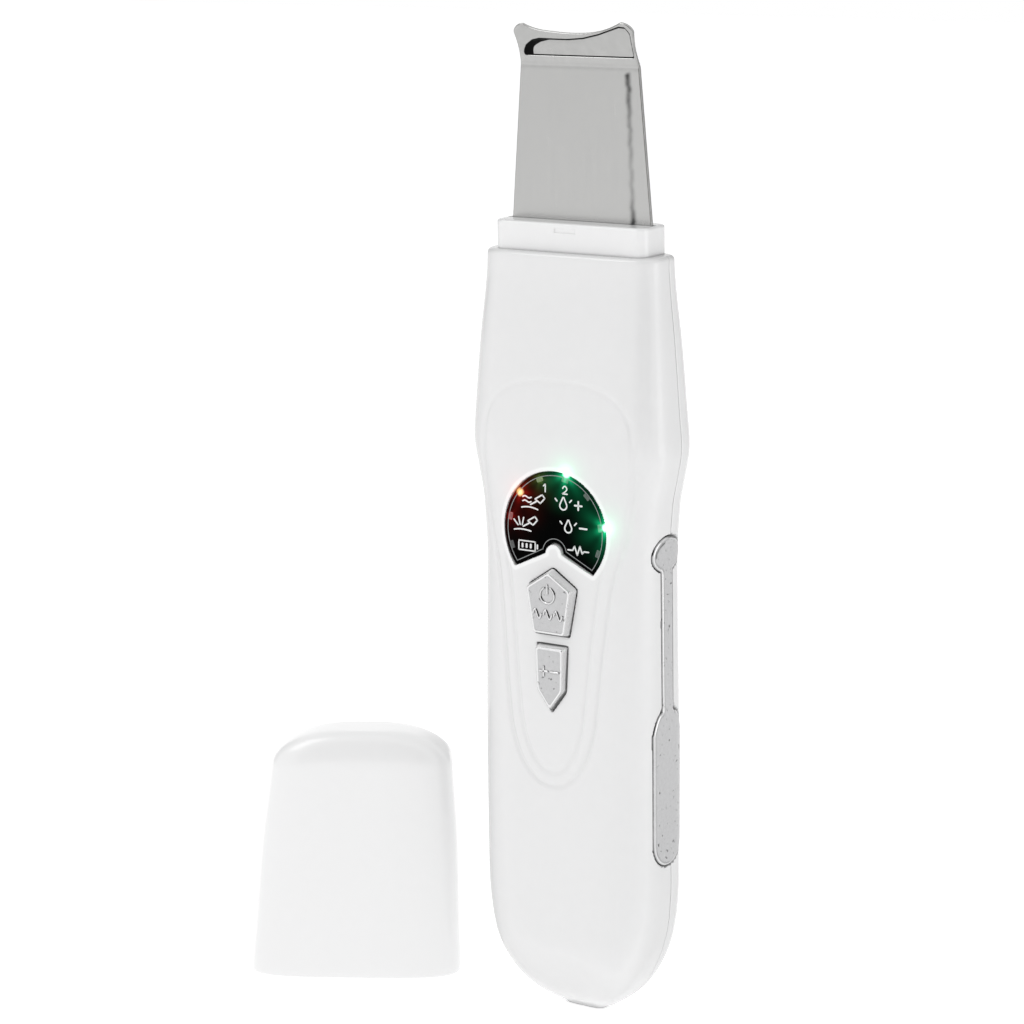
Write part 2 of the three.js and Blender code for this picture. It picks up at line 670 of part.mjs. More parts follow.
function battery() {
  const { half, bottom, top, front, rear, corner } = BATTERY
  const outline = roundedRectangle({ half, front: -front, rear, corner })
  const cell = plateFacingUp(outline, bottom, top)
  const pad = block(
    [-BATTERY_PAD.half, BATTERY_PAD.front, BATTERY_PAD.bottom],
    [BATTERY_PAD.half, BATTERY_PAD.rear, BATTERY_PAD.top],
  )
  return [piece('battery', cell, foil()), piece('battery_pad', pad, rubber())]
}

function chargingInlet() {
  const { half, front, rear, bottom, top, hollow: skin } = SOCKET
  const middle = (front + rear) / 2
  const socket = solid(block([-half, front, bottom], [half, rear, top]))
    .subtract(solid(block([-half + skin, front + skin, bottom - 1], [half - skin, rear - skin, top - 1])))
    .add(solid(block([-half + 1.2, middle - 0.3, bottom + 0.8], [half - 1.2, middle + 0.3, top - 0.5])))
  const board = CHARGE_BOARD
  const plate = block([-board.half, board.front, board.bottom], [board.half, board.rear, board.top])
  return [piece('charging_socket', socket, steel()), piece('charge_board', plate, boardGreen())]
}

// An insulated lead swept along a smooth curve through its points.
function lead(name, points, color) {
  const circle = new THREE.Shape()
  circle.absarc(0, 0, LEAD_RADIUS, 0, 2 * Math.PI, false)
  const path = new THREE.CatmullRomCurve3(points.map((p) => new THREE.Vector3(...p)))
  const geometry = new THREE.ExtrudeGeometry(circle, {
    extrudePath: path, steps: 9, bevelEnabled: false, curveSegments: 3,
  })
  return piece(name, geometry, insulation(color))
}

function leads() {
  const red = 0xb3261e
  const dark = 0x202224
  const yellow = 0xd9a514
  return [
    lead('battery_lead_red', [[3, 1, 84.4], [3, 0, 87], [6, -3, 88.5], [8, -4.6, 90]], red),
    lead('battery_lead_black', [[-3, 1, 84.4], [-3, 0, 87], [-6, -3, 88.5], [-8, -4.6, 90]], dark),
    lead('transducer_lead_red', [[5, 0.5, 106], [6.2, 0, 103.5], [6.8, -2, 101], [7, -4.6, 99]], red),
    lead('transducer_lead_black', [[-5, 0.5, 106], [-6.2, 0, 103.5], [-6.8, -2, 101], [-7, -4.6, 99]], dark),
    lead('contact_lead_left', [[-14, -0.2, 46], [-13.9, -3, 52], [-11, -4, 58], [-9, -4.6, 62]], yellow),
    lead('contact_lead_right', [[14, -0.2, 46], [13.9, -3, 52], [11, -4, 58], [9, -4.6, 62]], yellow),
  ]
}

// ---------------------------------------------------------------- protective cap

function capSection(z, inset) {
  const rise = Math.max(0, z - (CAP.height - CAP_DOME.rise)) / CAP_DOME.rise
  const open = (1 - Math.min(1, rise) ** CAP_DOME.power) ** (1 / CAP_DOME.power)
  const depth = along(CAP_STATIONS, 'depth', z) - CAP_DOME.thin * (1 - open) - inset
  return {
    z,
    half: along(CAP_STATIONS, 'half', z) - CAP_DOME.narrow * (1 - open) - inset,
    front: depth,
    rear: depth,
    power: CAP_POWER,
    shift: CAP.lean * z,
  }
}

function protectiveCap() {
  const domeStart = CAP.height - CAP_DOME.rise
  const bow = [0.3, 0.55, 0.75, 0.88, 0.96, 1].map((t) => domeStart + t * CAP_DOME.rise)
  const heights = [0, 3, 8, 16, 26, domeStart, ...bow]
  const outside = heights.map((z) => capSection(z, 0))
  const inside = [0, 6, 16, 28, domeStart, ...bow.slice(0, 5)].map((z) => {
    return { ...capSection(z, CAP.wall), z: Math.min(z, CAP.height - CAP.wall) }
  })
  inside[0].z = -1
  const shell = solid(loft(outside, CAP.ring)).subtract(solid(loft(inside, CAP.ring)))
  const group = new THREE.Group()
  group.add(piece('protective_cap', shell, white()))
  group.position.set(CAP.x, CAP.y, 0)
  group.rotation.z = THREE.MathUtils.degToRad(CAP.turn)
  return group
}

// ---------------------------------------------------------------- assembly

const group = new THREE.Group()
group.add(frontShell(), rearShell(), ...shellScrews())
group.add(neckCollar(), bladeSeal(), scraperBlade())
group.add(displayWindow(), lightGuide(), ...lamps(), mainBoard())
group.add(button('power_button', POWER_BUTTON, POWER_SWITCH_Z))
group.add(button('mode_button', MODE_BUTTON, MODE_SWITCH_Z))
group.add(tactSwitch('power_switch', POWER_SWITCH_Z), plunger('power_plunger', POWER_SWITCH_Z))
group.add(tactSwitch('mode_switch', MODE_SWITCH_Z), plunger('mode_plunger', MODE_SWITCH_Z))
group.add(sideElectrode('side_electrode_left', -1), sideElectrode('side_electrode_right', 1))
group.add(...transducerStack())
group.add(...battery(), ...chargingInlet(), ...leads())
group.add(protectiveCap())

export default group
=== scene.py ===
"""The look of a cordless skin scrubber and its cap: fine shells, blade, display and chrome."""
import json
import math

import bmesh
import bpy
import numpy as np
from mathutils import Matrix, Vector

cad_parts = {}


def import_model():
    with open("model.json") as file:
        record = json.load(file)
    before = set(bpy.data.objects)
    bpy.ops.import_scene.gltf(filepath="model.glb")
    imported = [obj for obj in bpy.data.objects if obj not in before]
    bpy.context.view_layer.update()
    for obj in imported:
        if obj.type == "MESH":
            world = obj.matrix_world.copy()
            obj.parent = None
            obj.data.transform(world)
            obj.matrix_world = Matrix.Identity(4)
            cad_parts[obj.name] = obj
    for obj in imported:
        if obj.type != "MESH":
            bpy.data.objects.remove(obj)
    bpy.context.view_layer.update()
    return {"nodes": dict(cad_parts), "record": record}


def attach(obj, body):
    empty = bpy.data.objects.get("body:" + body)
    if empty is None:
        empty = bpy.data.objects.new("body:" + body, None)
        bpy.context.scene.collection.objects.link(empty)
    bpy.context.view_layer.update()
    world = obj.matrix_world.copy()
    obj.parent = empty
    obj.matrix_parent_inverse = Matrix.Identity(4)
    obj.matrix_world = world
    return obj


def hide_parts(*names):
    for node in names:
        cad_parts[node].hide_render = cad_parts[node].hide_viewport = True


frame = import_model()

# Lengths are millimetres until a mesh is made. +Z is up, -Y is the front with the display.
MM = 0.001

# ---------------------------------------------------------------- driving dimensions

BODY_TOP = 142.2
SEAM_Y = 0.5
SEAM_HALF = 0.04
WALL = 1.5
INNER_BOTTOM = 2.6
INNER_TOP = 139.5
STATIONS = {
    "z": (28, 60, 86, 97, 102, 108, 114, 125, 142.2),
    "half": (17.7, 17.9, 17.9, 18.6, 19.6, 20.6, 20.2, 19.45, 18.2),
    "front": (12.2, 11.6, 10.5, 10.0, 9.75, 9.5, 9.0, 7.9, 6.1),
    "rear": (6.6, 7.0, 7.0, 6.95, 6.9, 6.8, 6.5, 5.9, 4.8),
    "power": (4.2, 4.0, 3.8, 3.9, 4.0, 4.2, 4.4, 4.5, 4.5),
}
HEEL = {"width_rise": 27.5, "width_power": 2.2, "depth_rise": 15.7, "depth_power": 1.75}
FOOT = {"half": 4.2, "front": 2.8, "rear": 2.4}
SHOULDER = 0.9
NECK_HOLE = {"half": 15.2, "front": 3.7, "rear": 3.3, "power": 7, "bottom": 140.7}

WINDOW = {"z": 92.5, "y": -9.85, "radius": 10.85, "lean": math.radians(-2.4)}
WINDOW_CORNER = math.radians(40.6)
NOTCH = {"radius": 1.85, "drop": 3.9}
WINDOW_POCKET = 1.25
LAMP_RADIUS = 9.75
LAMP_ANGLES = (200, 169, 139.5, 110, 77.5, 46, 9.5, -18.5)

# Lit lamps: colour of the halo, colour of the hot core, power, and how far out the glare sits.
RED, GREEN, PALE = (1.0, 0.02, 0.01), (0.01, 0.85, 0.32), (0.45, 0.75, 0.12)
DEEP_RED = (0.45, 0.009, 0.005)
RED_CORE, GREEN_CORE = (1.0, 0.62, 0.22), (0.72, 1.0, 0.88)
LAMP_LIGHT = {
    2: (RED, RED, 0.06, 9.75),
    3: (DEEP_RED, RED_CORE, 0.6, 9.95),
    4: (PALE, PALE, 0.05, 9.75),
    5: (GREEN, GREEN_CORE, 1.0, 11.0),
    7: (GREEN, GREEN_CORE, 1.0, 11.0),
}
BRIGHT_LAMPS = (3, 5, 7)

BUTTON = {"face": -12.45, "slope": 0.42, "skirt": -9.6, "corner": 0.5}
POWER_OUTLINE = ((-3.33, 74.0), (3.33, 74.0), (4.71, 82.3), (0, 85.4), (-4.71, 82.3))
MODE_OUTLINE = ((-2.67, 63.5), (0, 59.9), (2.67, 63.5), (2.92, 71.4), (-2.92, 71.4))
BUTTON_POCKET = 1.35

STRIP = {"y": -0.7, "stem": 1.85, "pad": 4.8, "head": 4.55, "head_tall": 3.35, "head_z": 88.6,
         "pad_top": 59.5, "pad_full": 55.6, "pad_low": 34.9, "drop": 4.8, "out": 0.16, "bevel": 0.5}
STRIP_GAP = 0.2
STRIP_POCKET = 0.75

COLLAR = {"half": 15.95, "front": 4.4, "rear": 4.0, "corner": 1.9, "top": 147.4, "fillet": 0.5}
BLADE_SLOT = {"half": 15.38, "thick": 1.3, "deep": 2.8}
BLADE = {"y": 0.5, "thick": 0.8, "base": 144.6, "base_half": 15.03, "bend": 175.1, "bend_half": 12.5,
         "tip_lean": math.radians(20), "bend_radius": 2.2}
TIP = {"waist": 12.2, "horn_half": 12.65, "horn_side": 6.3, "peak_x": 10.3, "peak": 8.35, "dip": 6.1,
       "left_drop": 0.6}

# The hollow in the blade's tip: its top edge at places across, its sides and its bottom.
HOLLOW = {"x": (-11.2, -10.4, -8.9, -7.3, -4.5, -1.2, 2.0, 5.4, 8.1, 9.9, 11.1, 11.9, 12.3),
          "top": (2.5, 3.7, 4.7, 5.05, 5.0, 5.0, 5.3, 6.1, 7.0, 7.6, 7.5, 6.6, 5.3),
          "left": -11.15, "right": 12.0, "bottom": 1.6}

CAP = {"x": -49.1, "y": -7.8, "turn": math.radians(29.5), "height": 48.4, "wall": 1.7, "lean": 0.054}
CAP_STATIONS = {"z": (0, 8, 24, 48), "half": (20.5, 20.05, 19.2, 17.25), "depth": (7.6, 7.4, 7.0, 6.4)}
CAP_DOME = {"rise": 7.4, "power": 2.1, "narrow": 13.4, "thin": 3.2}
CAP_POWER = 3.7

SCREWS = ((-11.5, 21, 3.2), (11.5, 21, 3.2), (-12.5, 127, 2.5), (12.5, 127, 2.5))
COUNTERBORE = 2.3
RATING = {"half": 8.5, "bottom": 44, "top": 72, "y": 6.55, "corner": 1.2}

# Half widths of the egg-shaped groove round the controls, and how its ends round off.
GROOVE = {"z": (46, 64, 84, 95, 106, 119.5), "half": (8.4, 9.9, 12.2, 15.0, 16.2, 14.6)}
GROOVE_BOTTOM = {"z": 45.4, "rise": 13, "power": 2.1}
GROOVE_TOP = {"z": 119.5, "rise": 9, "power": 2.6}

# ---------------------------------------------------------------- small maths


def smooth(low, high, value):
    t = np.clip((value - low) / (high - low), 0, 1)
    return t * t * (3 - 2 * t)


def bell(value, width):
    """A smooth bump that is 1 where value is 0 and falls away over width."""
    return np.exp(-((value / width) ** 2))


def round_out(t):
    """How far a unit circle reaches at t from its centre."""
    return np.sqrt(np.clip(1 - t ** 2, 0, 1))


def along(stations, key, z):
    """Smooth value of one station column at heights z, without overshoot between stations."""
    zs, values = np.array(stations["z"], float), np.array(stations[key], float)
    slopes = np.diff(values) / np.diff(zs)
    tangents = np.zeros(len(zs))
    for i, (before, after) in enumerate(zip(slopes, slopes[1:]), 1):
        if before * after > 0:
            tangents[i] = 2 * before * after / (before + after)
    z = np.clip(z, zs[0], zs[-1])
    i = np.clip(np.searchsorted(zs, z, side="right") - 1, 0, len(zs) - 2)
    span = zs[i + 1] - zs[i]
    t = (z - zs[i]) / span
    rise = t * t * (3 - 2 * t)
    swing = t * (1 - t) ** 2 * tangents[i] + t * t * (t - 1) * tangents[i + 1]
    return values[i] * (1 - rise) + values[i + 1] * rise + span * swing


def opening(z, rise, power):
    """How far a rounded end has opened at distance z from its tip, from 0 to 1."""
    return (1 - np.clip(1 - z / rise, 0, 1) ** power) ** (1 / power)


def spread(*runs):
    """Positions along a line from (start, end, step) runs that follow each other."""
    out = [runs[0][0]]
    for start, end, step in runs:
        count = max(1, round(abs(end - start) / step))
        out.extend(start + (end - start) * (k + 1) / count for k in range(count))
    return np.array(out, float)


def signed_distance(px, pz, outline):
    """Distance from points to a closed outline, negative inside, and the nearest point on it."""
    best = np.full(px.shape, 1e9)
    near_x = px.copy()
    near_z = pz.copy()
    inside = np.zeros(px.shape, bool)
    for (ax, az), (bx, bz) in zip(outline, np.roll(outline, -1, axis=0)):
        ex, ez = bx - ax, bz - az
        length = ex * ex + ez * ez
        if length < 1e-12:
            continue
        t = np.clip(((px - ax) * ex + (pz - az) * ez) / length, 0, 1)
        qx, qz = ax + t * ex, az + t * ez
        d = np.hypot(px - qx, pz - qz)
        closer = d < best
        best[closer] = d[closer]
        near_x[closer] = qx[closer]
        near_z[closer] = qz[closer]
        if az != bz:
            inside ^= ((az > pz) != (bz > pz)) & (px < ex * (pz - az) / ez + ax)
    return np.where(inside, -best, best), near_x, near_z


class Outline:
    """A closed outline that answers for grid points: how far they are, and snaps the near ones onto it."""

    def __init__(self, points, reach=1.5):
        self.points = np.array(points, float)
        self.low = self.points.min(0) - reach
        self.high = self.points.max(0) + reach

    def near(self, px, pz):
        return (px > self.low[0]) & (px < self.high[0]) & (pz > self.low[1]) & (pz < self.high[1])

    def distance(self, px, pz):
        d = np.full(px.shape, 99.0)
        box = self.near(px, pz)
        d[box] = signed_distance(px[box], pz[box], self.points)[0]
        return d

    def snap(self, px, pz, within, where=True):
        """Moves the points that are this near to the outline onto it, in place."""
        box = self.near(px, pz) & where
        d, near_x, near_z = signed_distance(px[box], pz[box], self.points)
        pull = np.abs(d) < within
        px[box] = np.where(pull, near_x, px[box])
        pz[box] = np.where(pull, near_z, pz[box])


# ---------------------------------------------------------------- outlines


def soften(points, cut, steps=5):
    """A polygon with each corner rounded, starting cut before the corner and ending cut after it."""
    points = [np.array(p, float) for p in points]
    out = []
    for i, corner in enumerate(points):
        before = points[i - 1] - corner
        after = points[(i + 1) % len(points)] - corner
        start = corner + before / np.linalg.norm(before) * cut
        end = corner + after / np.linalg.norm(after) * cut
        for t in np.linspace(0, 1, steps + 1):
            out.append((1 - t) ** 2 * start + 2 * t * (1 - t) * corner + t * t * end)
    return np.array(out)


def grown(points, amount):
    """A counter-clockwise outline moved outward by amount, or inward when it is negative."""
    points = np.array(points, float)
    into = points - np.roll(points, 1, axis=0)
    into /= np.linalg.norm(into, axis=1, keepdims=True)
    normal_in = np.stack([into[:, 1], -into[:, 0]], 1)
    normal_out = np.roll(normal_in, -1, axis=0)
    miter = (normal_in + normal_out) / (1 + (normal_in * normal_out).sum(1, keepdims=True))
    return points + miter * amount


def arc(cx, cz, radius, start, end, steps):
    angles = np.linspace(start, end, steps + 1)
    return np.stack([cx + radius * np.cos(angles), cz + radius * np.sin(angles)], 1)


def both_sides(width, z, middle=0.0):
    """The outline of a shape that reaches width to both sides of its middle line at heights z."""
    right = np.stack([middle + width, z], 1)
    left = np.stack([middle - width, z], 1)
    return np.vstack([right, left[-2:0:-1]])


def fan_outline(grow=0.0):
    """The display: most of a disc about (0, 0), with a round notch between its lower corners."""
    notch = NOTCH["radius"] - grow
    drop = -NOTCH["drop"] - grow
    rim = arc(0, 0, WINDOW["radius"] + grow, -WINDOW_CORNER, math.pi + WINDOW_CORNER, 110)
    return np.vstack([rim, arc(0, drop, notch, math.pi, 0, 24)])


def strip_width(z, grow=0.0):
    """Half width of the hand-contact strip at height z: pad, neck, stem and round head."""
    s = STRIP
    pad, stem, head = s["pad"] + grow, s["stem"] + grow, s["head"] + grow
    neck_top = s["pad_top"] + grow
    t = np.clip((z - s["pad_full"]) / (neck_top - s["pad_full"]), 0, 1)
    neck = stem + (pad - stem) * round_out(t) * (1 - 0.25 * t)
    end = pad * round_out((s["pad_low"] - z) / (s["drop"] + grow))
    ball = head * round_out((z - s["head_z"]) / (s["head_tall"] + grow))
    below = [z < s["pad_low"], z < s["pad_full"], z <= neck_top, z <= s["head_z"]]
    return np.select(below, [end, pad, neck, np.maximum(stem, ball)], ball)


def strip_heights(grow=0.0):
    """Heights along the strip, close together at its round ends, its neck and under its head."""
    low = STRIP["pad_low"] - STRIP["drop"] - grow
    high = STRIP["head_z"] + STRIP["head_tall"] + grow
    neck_low, neck_high, head_low = STRIP["pad_full"] - 0.5, STRIP["pad_top"], 86
    bottom = low + STRIP["drop"] * (1 - np.cos(np.linspace(0, math.pi / 2, 24)))
    neck = spread((STRIP["pad_low"] + 1, neck_low, 1.0), (neck_low, neck_high, 0.16),
                  (neck_high, 83, 1.0), (83, head_low, 0.2))
    top = high - (high - head_low) * (1 - np.cos(np.linspace(math.pi / 2, 0, 26)))
    return np.concatenate([bottom, neck, top[1:]])


def strip_outline(grow=0.0):
    z = strip_heights(grow)
    return both_sides(strip_width(z, grow), z, STRIP["y"])


def groove_outline():
    bottom, top = GROOVE_BOTTOM, GROOVE_TOP
    z = bottom["z"] + (top["z"] - bottom["z"]) * (1 - np.cos(np.linspace(0, math.pi, 120))) / 2
    width = along(GROOVE, "half", z) * opening(z - bottom["z"], bottom["rise"], bottom["power"])
    return both_sides(width * opening(top["z"] - z, top["rise"], top["power"]), z)


def box_outline(x, z, half_x, half_z, corner):
    corners = np.array([(-1, -1), (1, -1), (1, 1), (-1, 1)])
    return soften(corners * (half_x, half_z) + (x, z), corner)


def disc_outline(x, z, radius, steps=48):
    return arc(x, z, radius, 0, 2 * math.pi, steps)[:-1]


def bar_outline(path, width):
    """The outline of a stroke with round ends along an open path."""
    path = np.array(path, float)
    ahead = np.gradient(path, axis=0)
    ahead *= width / 2 / np.linalg.norm(ahead, axis=1, keepdims=True)
    side = np.stack([ahead[:, 1], -ahead[:, 0]], 1)
    turn = np.linspace(0, math.pi, 7)[1:-1, None]
    end_cap = path[-1] + side[-1] * np.cos(turn) + ahead[-1] * np.sin(turn)
    start_cap = path[0] - side[0] * np.cos(turn) - ahead[0] * np.sin(turn)
    return np.vstack([path + side, end_cap, (path - side)[::-1], start_cap])


# ---------------------------------------------------------------- meshes


SHARP_ANGLE = 38.0


class Shape:
    """Vertices and faces that are collected from rings and grids, and then become one mesh."""

    def __init__(self):
        self.blocks = []
        self.faces = []
        self.count = 0

    def grid(self, points, closed=False):
        """A rows x columns x 3 grid of points as quads; closed joins the last column to the first."""
        points = np.array(points)
        rows, columns = points.shape[:2]
        index = self.count + np.arange(rows * columns).reshape(rows, columns)
        self.blocks.append(points.reshape(-1, 3))
        self.count += rows * columns
        right = np.roll(index, -1, axis=1) if closed else index[:, 1:]
        left = index if closed else index[:, :-1]
        quads = np.stack([left[:-1], right[:-1], right[1:], left[1:]], -1).reshape(-1, 4)
        self.faces.extend(quads.tolist())
        return index

    def close(self, ring):
        self.faces.append([int(i) for i in ring])

    def solid(self, rings):
        """A wall through closed rings of points, with a face over the first ring and the last."""
        index = self.grid(rings, closed=True)
        self.close(index[0][::-1])
        self.close(index[-1])
        return self

    def tube(self, rings):
        """A wall through closed rings of points that comes back to the first ring."""
        self.grid([*rings, rings[0]], closed=True)
        return self

    def rim(self, front, back):
        """Quads all round, between the edges of two grids of one size."""
        a, b = (np.concatenate([grid[0, :-1], grid[:-1, -1], grid[-1, :0:-1], grid[:0:-1, 0]])
                for grid in (front, back))
        self.faces.extend(np.stack([a, np.roll(a, -1), np.roll(b, -1), b], 1).tolist())

    def stitch(self, a, b, places_a, places_b):
        """Triangles between two rows of vertices whose places run the same way."""
        i = j = 0
        while i < len(a) - 1 or j < len(b) - 1:
            if j == len(b) - 1 or (i < len(a) - 1 and places_a[i + 1] <= places_b[j + 1]):
                self.close([a[i], a[i + 1], b[j]])
                i += 1
            else:
                self.close([a[i], b[j + 1], b[j]])
                j += 1

    def mesh(self, name, sharp=SHARP_ANGLE):
        mesh = bpy.data.meshes.new(name)
        mesh.from_pydata((np.vstack(self.blocks) * MM).tolist(), [], self.faces)
        work = bmesh.new()
        work.from_mesh(mesh)
        bmesh.ops.remove_doubles(work, verts=work.verts, dist=2e-6)
        bmesh.ops.dissolve_degenerate(work, edges=work.edges, dist=1e-7)
        bmesh.ops.recalc_face_normals(work, faces=work.faces)
        work.to_mesh(mesh)
        work.free()
        return shaded(mesh, sharp)


def shaded(mesh, sharp=SHARP_ANGLE):
    """A mesh with smooth shading, except over edges that turn by more than sharp degrees."""
    mesh.shade_smooth()
    mesh.set_sharp_from_angle(angle=math.radians(sharp))
    return mesh


def in_scene(name, data):
    obj = bpy.data.objects.new(name, data)
    bpy.context.scene.collection.objects.link(obj)
    return obj


def piece(name, shape, look, replaces=None, body="device", sharp=SHARP_ANGLE):
    """A finished object in one of the LOOKS, on its body, standing for the CAD node it replaces."""
    mesh = shape.mesh(name, sharp) if isinstance(shape, Shape) else shape
    mesh.materials.append(LOOKS[look])
    obj = in_scene(name, mesh)
    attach(obj, body)
    if replaces:
        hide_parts(replaces)
    return obj


def stack(shape, outline, levels, place, corner=0.0):
    """A closed solid from one outline: each level is (outset, height), from the back to the front."""
    rings = []
    for outset, height in levels:
        ring = grown(outline, outset) if outset else np.array(outline, float)
        ring = soften(ring, corner) if corner else ring
        rings.append(place(ring[:, 0], ring[:, 1], np.full(len(ring), float(height))))
    return shape.solid(rings)


def facing_front(x, z, height):
    """Height counts towards the front, so it is -Y."""
    return np.stack([x, -height, z], -1)


def facing_rear(x, z, height):
    return np.stack([-x, height, z], -1)


def facing_up(x, y, height):
    return np.stack([x, y, height], -1)


def on_window(x, z, height):
    """Places on the leaning display plane, about its centre; height counts out of the glass."""
    c, s = math.cos(WINDOW["lean"]), math.sin(WINDOW["lean"])
    return np.stack([x, WINDOW["y"] - height * c - z * s, WINDOW["z"] - height * s + z * c], -1)


def cut(mesh, cutters):
    """A mesh less some closed shapes."""
    holder = in_scene("cut_holder", mesh)
    tools = []
    for cutter in cutters:
        tools.append(in_scene("cut_tool", cutter.mesh("cut_tool")))
        modifier = holder.modifiers.new("cut", "BOOLEAN")
        modifier.operation = "DIFFERENCE"
        modifier.solver = "MANIFOLD"
        modifier.object = tools[-1]
    result = bpy.data.meshes.new_from_object(holder.evaluated_get(bpy.context.evaluated_depsgraph_get()))
    for obj in [holder, *tools]:
        bpy.data.objects.remove(obj)
    result.materials.clear()
    return shaded(result)


# ---------------------------------------------------------------- shader nodes


def feed(tree, made, inputs):
    """Gives a node's inputs their numbers or colours, or the sockets that feed them."""
    for name, value in inputs.items():
        if isinstance(value, bpy.types.NodeSocket):
            tree.links.new(value, made.inputs[name])
        else:
            made.inputs[name].default_value = value
    return made


def node(tree, kind, inputs, **settings):
    """A new shader node with its settings and its inputs."""
    made = tree.nodes.new("ShaderNode" + kind)
    for name, value in settings.items():
        setattr(made, name, value)
    return feed(tree, made, inputs)


def remap(tree, value, low, high, start=0.0, end=1.0, **settings):
    """Maps a number that runs from start to end onto low to high."""
    limits = {"From Min": start, "From Max": end, "To Min": low, "To Max": high}
    return node(tree, "MapRange", {"Value": value, **limits}, **settings).outputs["Result"]


def blend(tree, factor, *colours):
    """Two colours mixed by a factor; each is a tuple or a socket."""
    a, b = (c if isinstance(c, bpy.types.NodeSocket) else (*c, 1) for c in colours)
    return node(tree, "Mix", {"Factor": factor, "A": a, "B": b}, data_type="RGBA").outputs["Result"]


def between(tree, factor, low, high):
    """Maps a 0 to 1 factor onto low to high, for a number or for a colour."""
    return (blend if isinstance(low, (tuple, list)) else remap)(tree, factor, low, high)


def calc(tree, operation, a, b=0.0, clamp=False):
    return node(tree, "Math", {0: a, 1: b}, operation=operation, use_clamp=clamp).outputs["Value"]


def vector_calc(tree, operation, inputs, output="Vector"):
    return node(tree, "VectorMath", inputs, operation=operation).outputs[output]


def new_material(name):
    material = bpy.data.materials.new(name)
    material.use_nodes = True
    return material, material.node_tree


def object_noise(tree, scale, stretch=(1, 1, 1), detail=3.0):
    """Noise in object space, stretched along the axes; scale is per metre."""
    where = node(tree, "TexCoord", {}).outputs["Object"]
    place = node(tree, "Mapping", {"Vector": where, "Scale": stretch}).outputs["Vector"]
    return node(tree, "TexNoise", {"Vector": place, "Scale": scale, "Detail": detail}).outputs["Fac"]


def shader_of(tree):
    return next(n for n in tree.nodes if n.type == "BSDF_PRINCIPLED")


def set_up(tree, inputs):
    feed(tree, shader_of(tree), inputs)


def base_colour(tree):
    return shader_of(tree).inputs["Base Color"].links[0].from_socket


# ---------------------------------------------------------------- what the materials share

BUMP_DISTANCE = 0.05 * MM
# How far the painted shade in narrow gaps reaches, on metal and on plastic.
CREASE_REACH = {"metal": 0.3 * MM, "plastic": 0.45 * MM}


def surface(name, dark, light, rough, grain, bump=0.08, metallic=0.0, coat=0.0, crease=None,
            stretch=(1, 1, 1)):
    """A principled material whose colour, roughness and relief all vary with one noise.

    crease is how bright the painted shade leaves its narrow gaps, from 0 to 1; without it no shade is painted
    there.
    """
    material, tree = new_material(name)
    noise = object_noise(tree, grain, stretch)
    colour = between(tree, noise, dark, light)
    if crease is not None:
        reach = CREASE_REACH["metal" if metallic else "plastic"]
        # Painted shade: ambient occlusion darkens the colour in narrow gaps and creases.
        gap = node(tree, "AmbientOcclusion", {"Distance": reach}, samples=8)
        colour = blend(tree, gap.outputs["AO"], [c * crease for c in dark], colour)
    relief = node(tree, "Bump", {"Strength": bump, "Distance": BUMP_DISTANCE, "Height": noise})
    set_up(tree, {"Base Color": colour, "Roughness": between(tree, noise, *rough), "Metallic": metallic,
                  "Normal": relief.outputs["Normal"], "Coat Weight": coat, "Coat Roughness": 0.06})
    return material


def by_attribute(tree, attribute, towards, wavy=None):
    """Mixes the base colour towards another one by a value painted on the mesh's vertices."""
    amount = node(tree, "Attribute", {}, attribute_name=attribute).outputs["Fac"]
    if wavy is not None:
        amount = calc(tree, "MULTIPLY", amount, wavy, clamp=True)
    set_up(tree, {"Base Color": blend(tree, amount, base_colour(tree), towards)})


def darker_edges(tree, share):
    """Paints shade on a white surface: it falls to a share of its brightness where it turns away from the
    eye.
    """
    facing = node(tree, "LayerWeight", {"Blend": 0.5}).outputs["Facing"]
    turned = remap(tree, facing, 1.0, share, 0.3, 0.6)
    set_up(tree, {"Base Color": vector_calc(tree, "SCALE", {0: base_colour(tree), "Scale": turned})})


def paint(obj, attribute, values):
    """Puts one value on each vertex of an object's mesh."""
    values = np.asarray(values, np.float32)
    obj.data.attributes.new(attribute, "FLOAT", "POINT").data.foreach_set("value", values)


def vertex_places(obj):
    """X, Y and Z of an object's vertices in millimetres."""
    places = np.empty(len(obj.data.vertices) * 3, np.float32)
    obj.data.vertices.foreach_get("co", places)
    return places.reshape(-1, 3).astype(float).T / MM


# ---------------------------------------------------------------- the lamps' light

# Layers of painted glow: (reach in millimetres, strength, steepness, whether it has the core's colour).
GLASS_GLOW = ((9.0, 0.20, 2.2, False), (3.4, 1.3, 2.6, False), (1.0, 5.0, 1.5, True))
SHELL_GLOW = ((7.5, 0.16, 2.6, False), (2.4, 0.9, 1.8, True))
RAYS = 7


def lamp_point(number, height=0.1):
    """Where a lamp's glare is centred."""
    angle = math.radians(LAMP_ANGLES[number - 1])
    radius = LAMP_LIGHT[number][3]
    return on_window(np.array(radius * math.cos(angle)), np.array(radius * math.sin(angle)), np.array(height))


def ray_pattern(tree, offset, value):
    """Painted star rays round a lamp: the glow is kept along some directions and dimmed between them."""
    split = node(tree, "SeparateXYZ", {"Vector": offset}).outputs
    angle = calc(tree, "ARCTAN2", split["Z"], split["X"])
    wave = calc(tree, "COSINE", calc(tree, "MULTIPLY", angle, RAYS))
    return calc(tree, "MULTIPLY", value, remap(tree, wave, 0.55, 1.25, -1.0, 1.0))


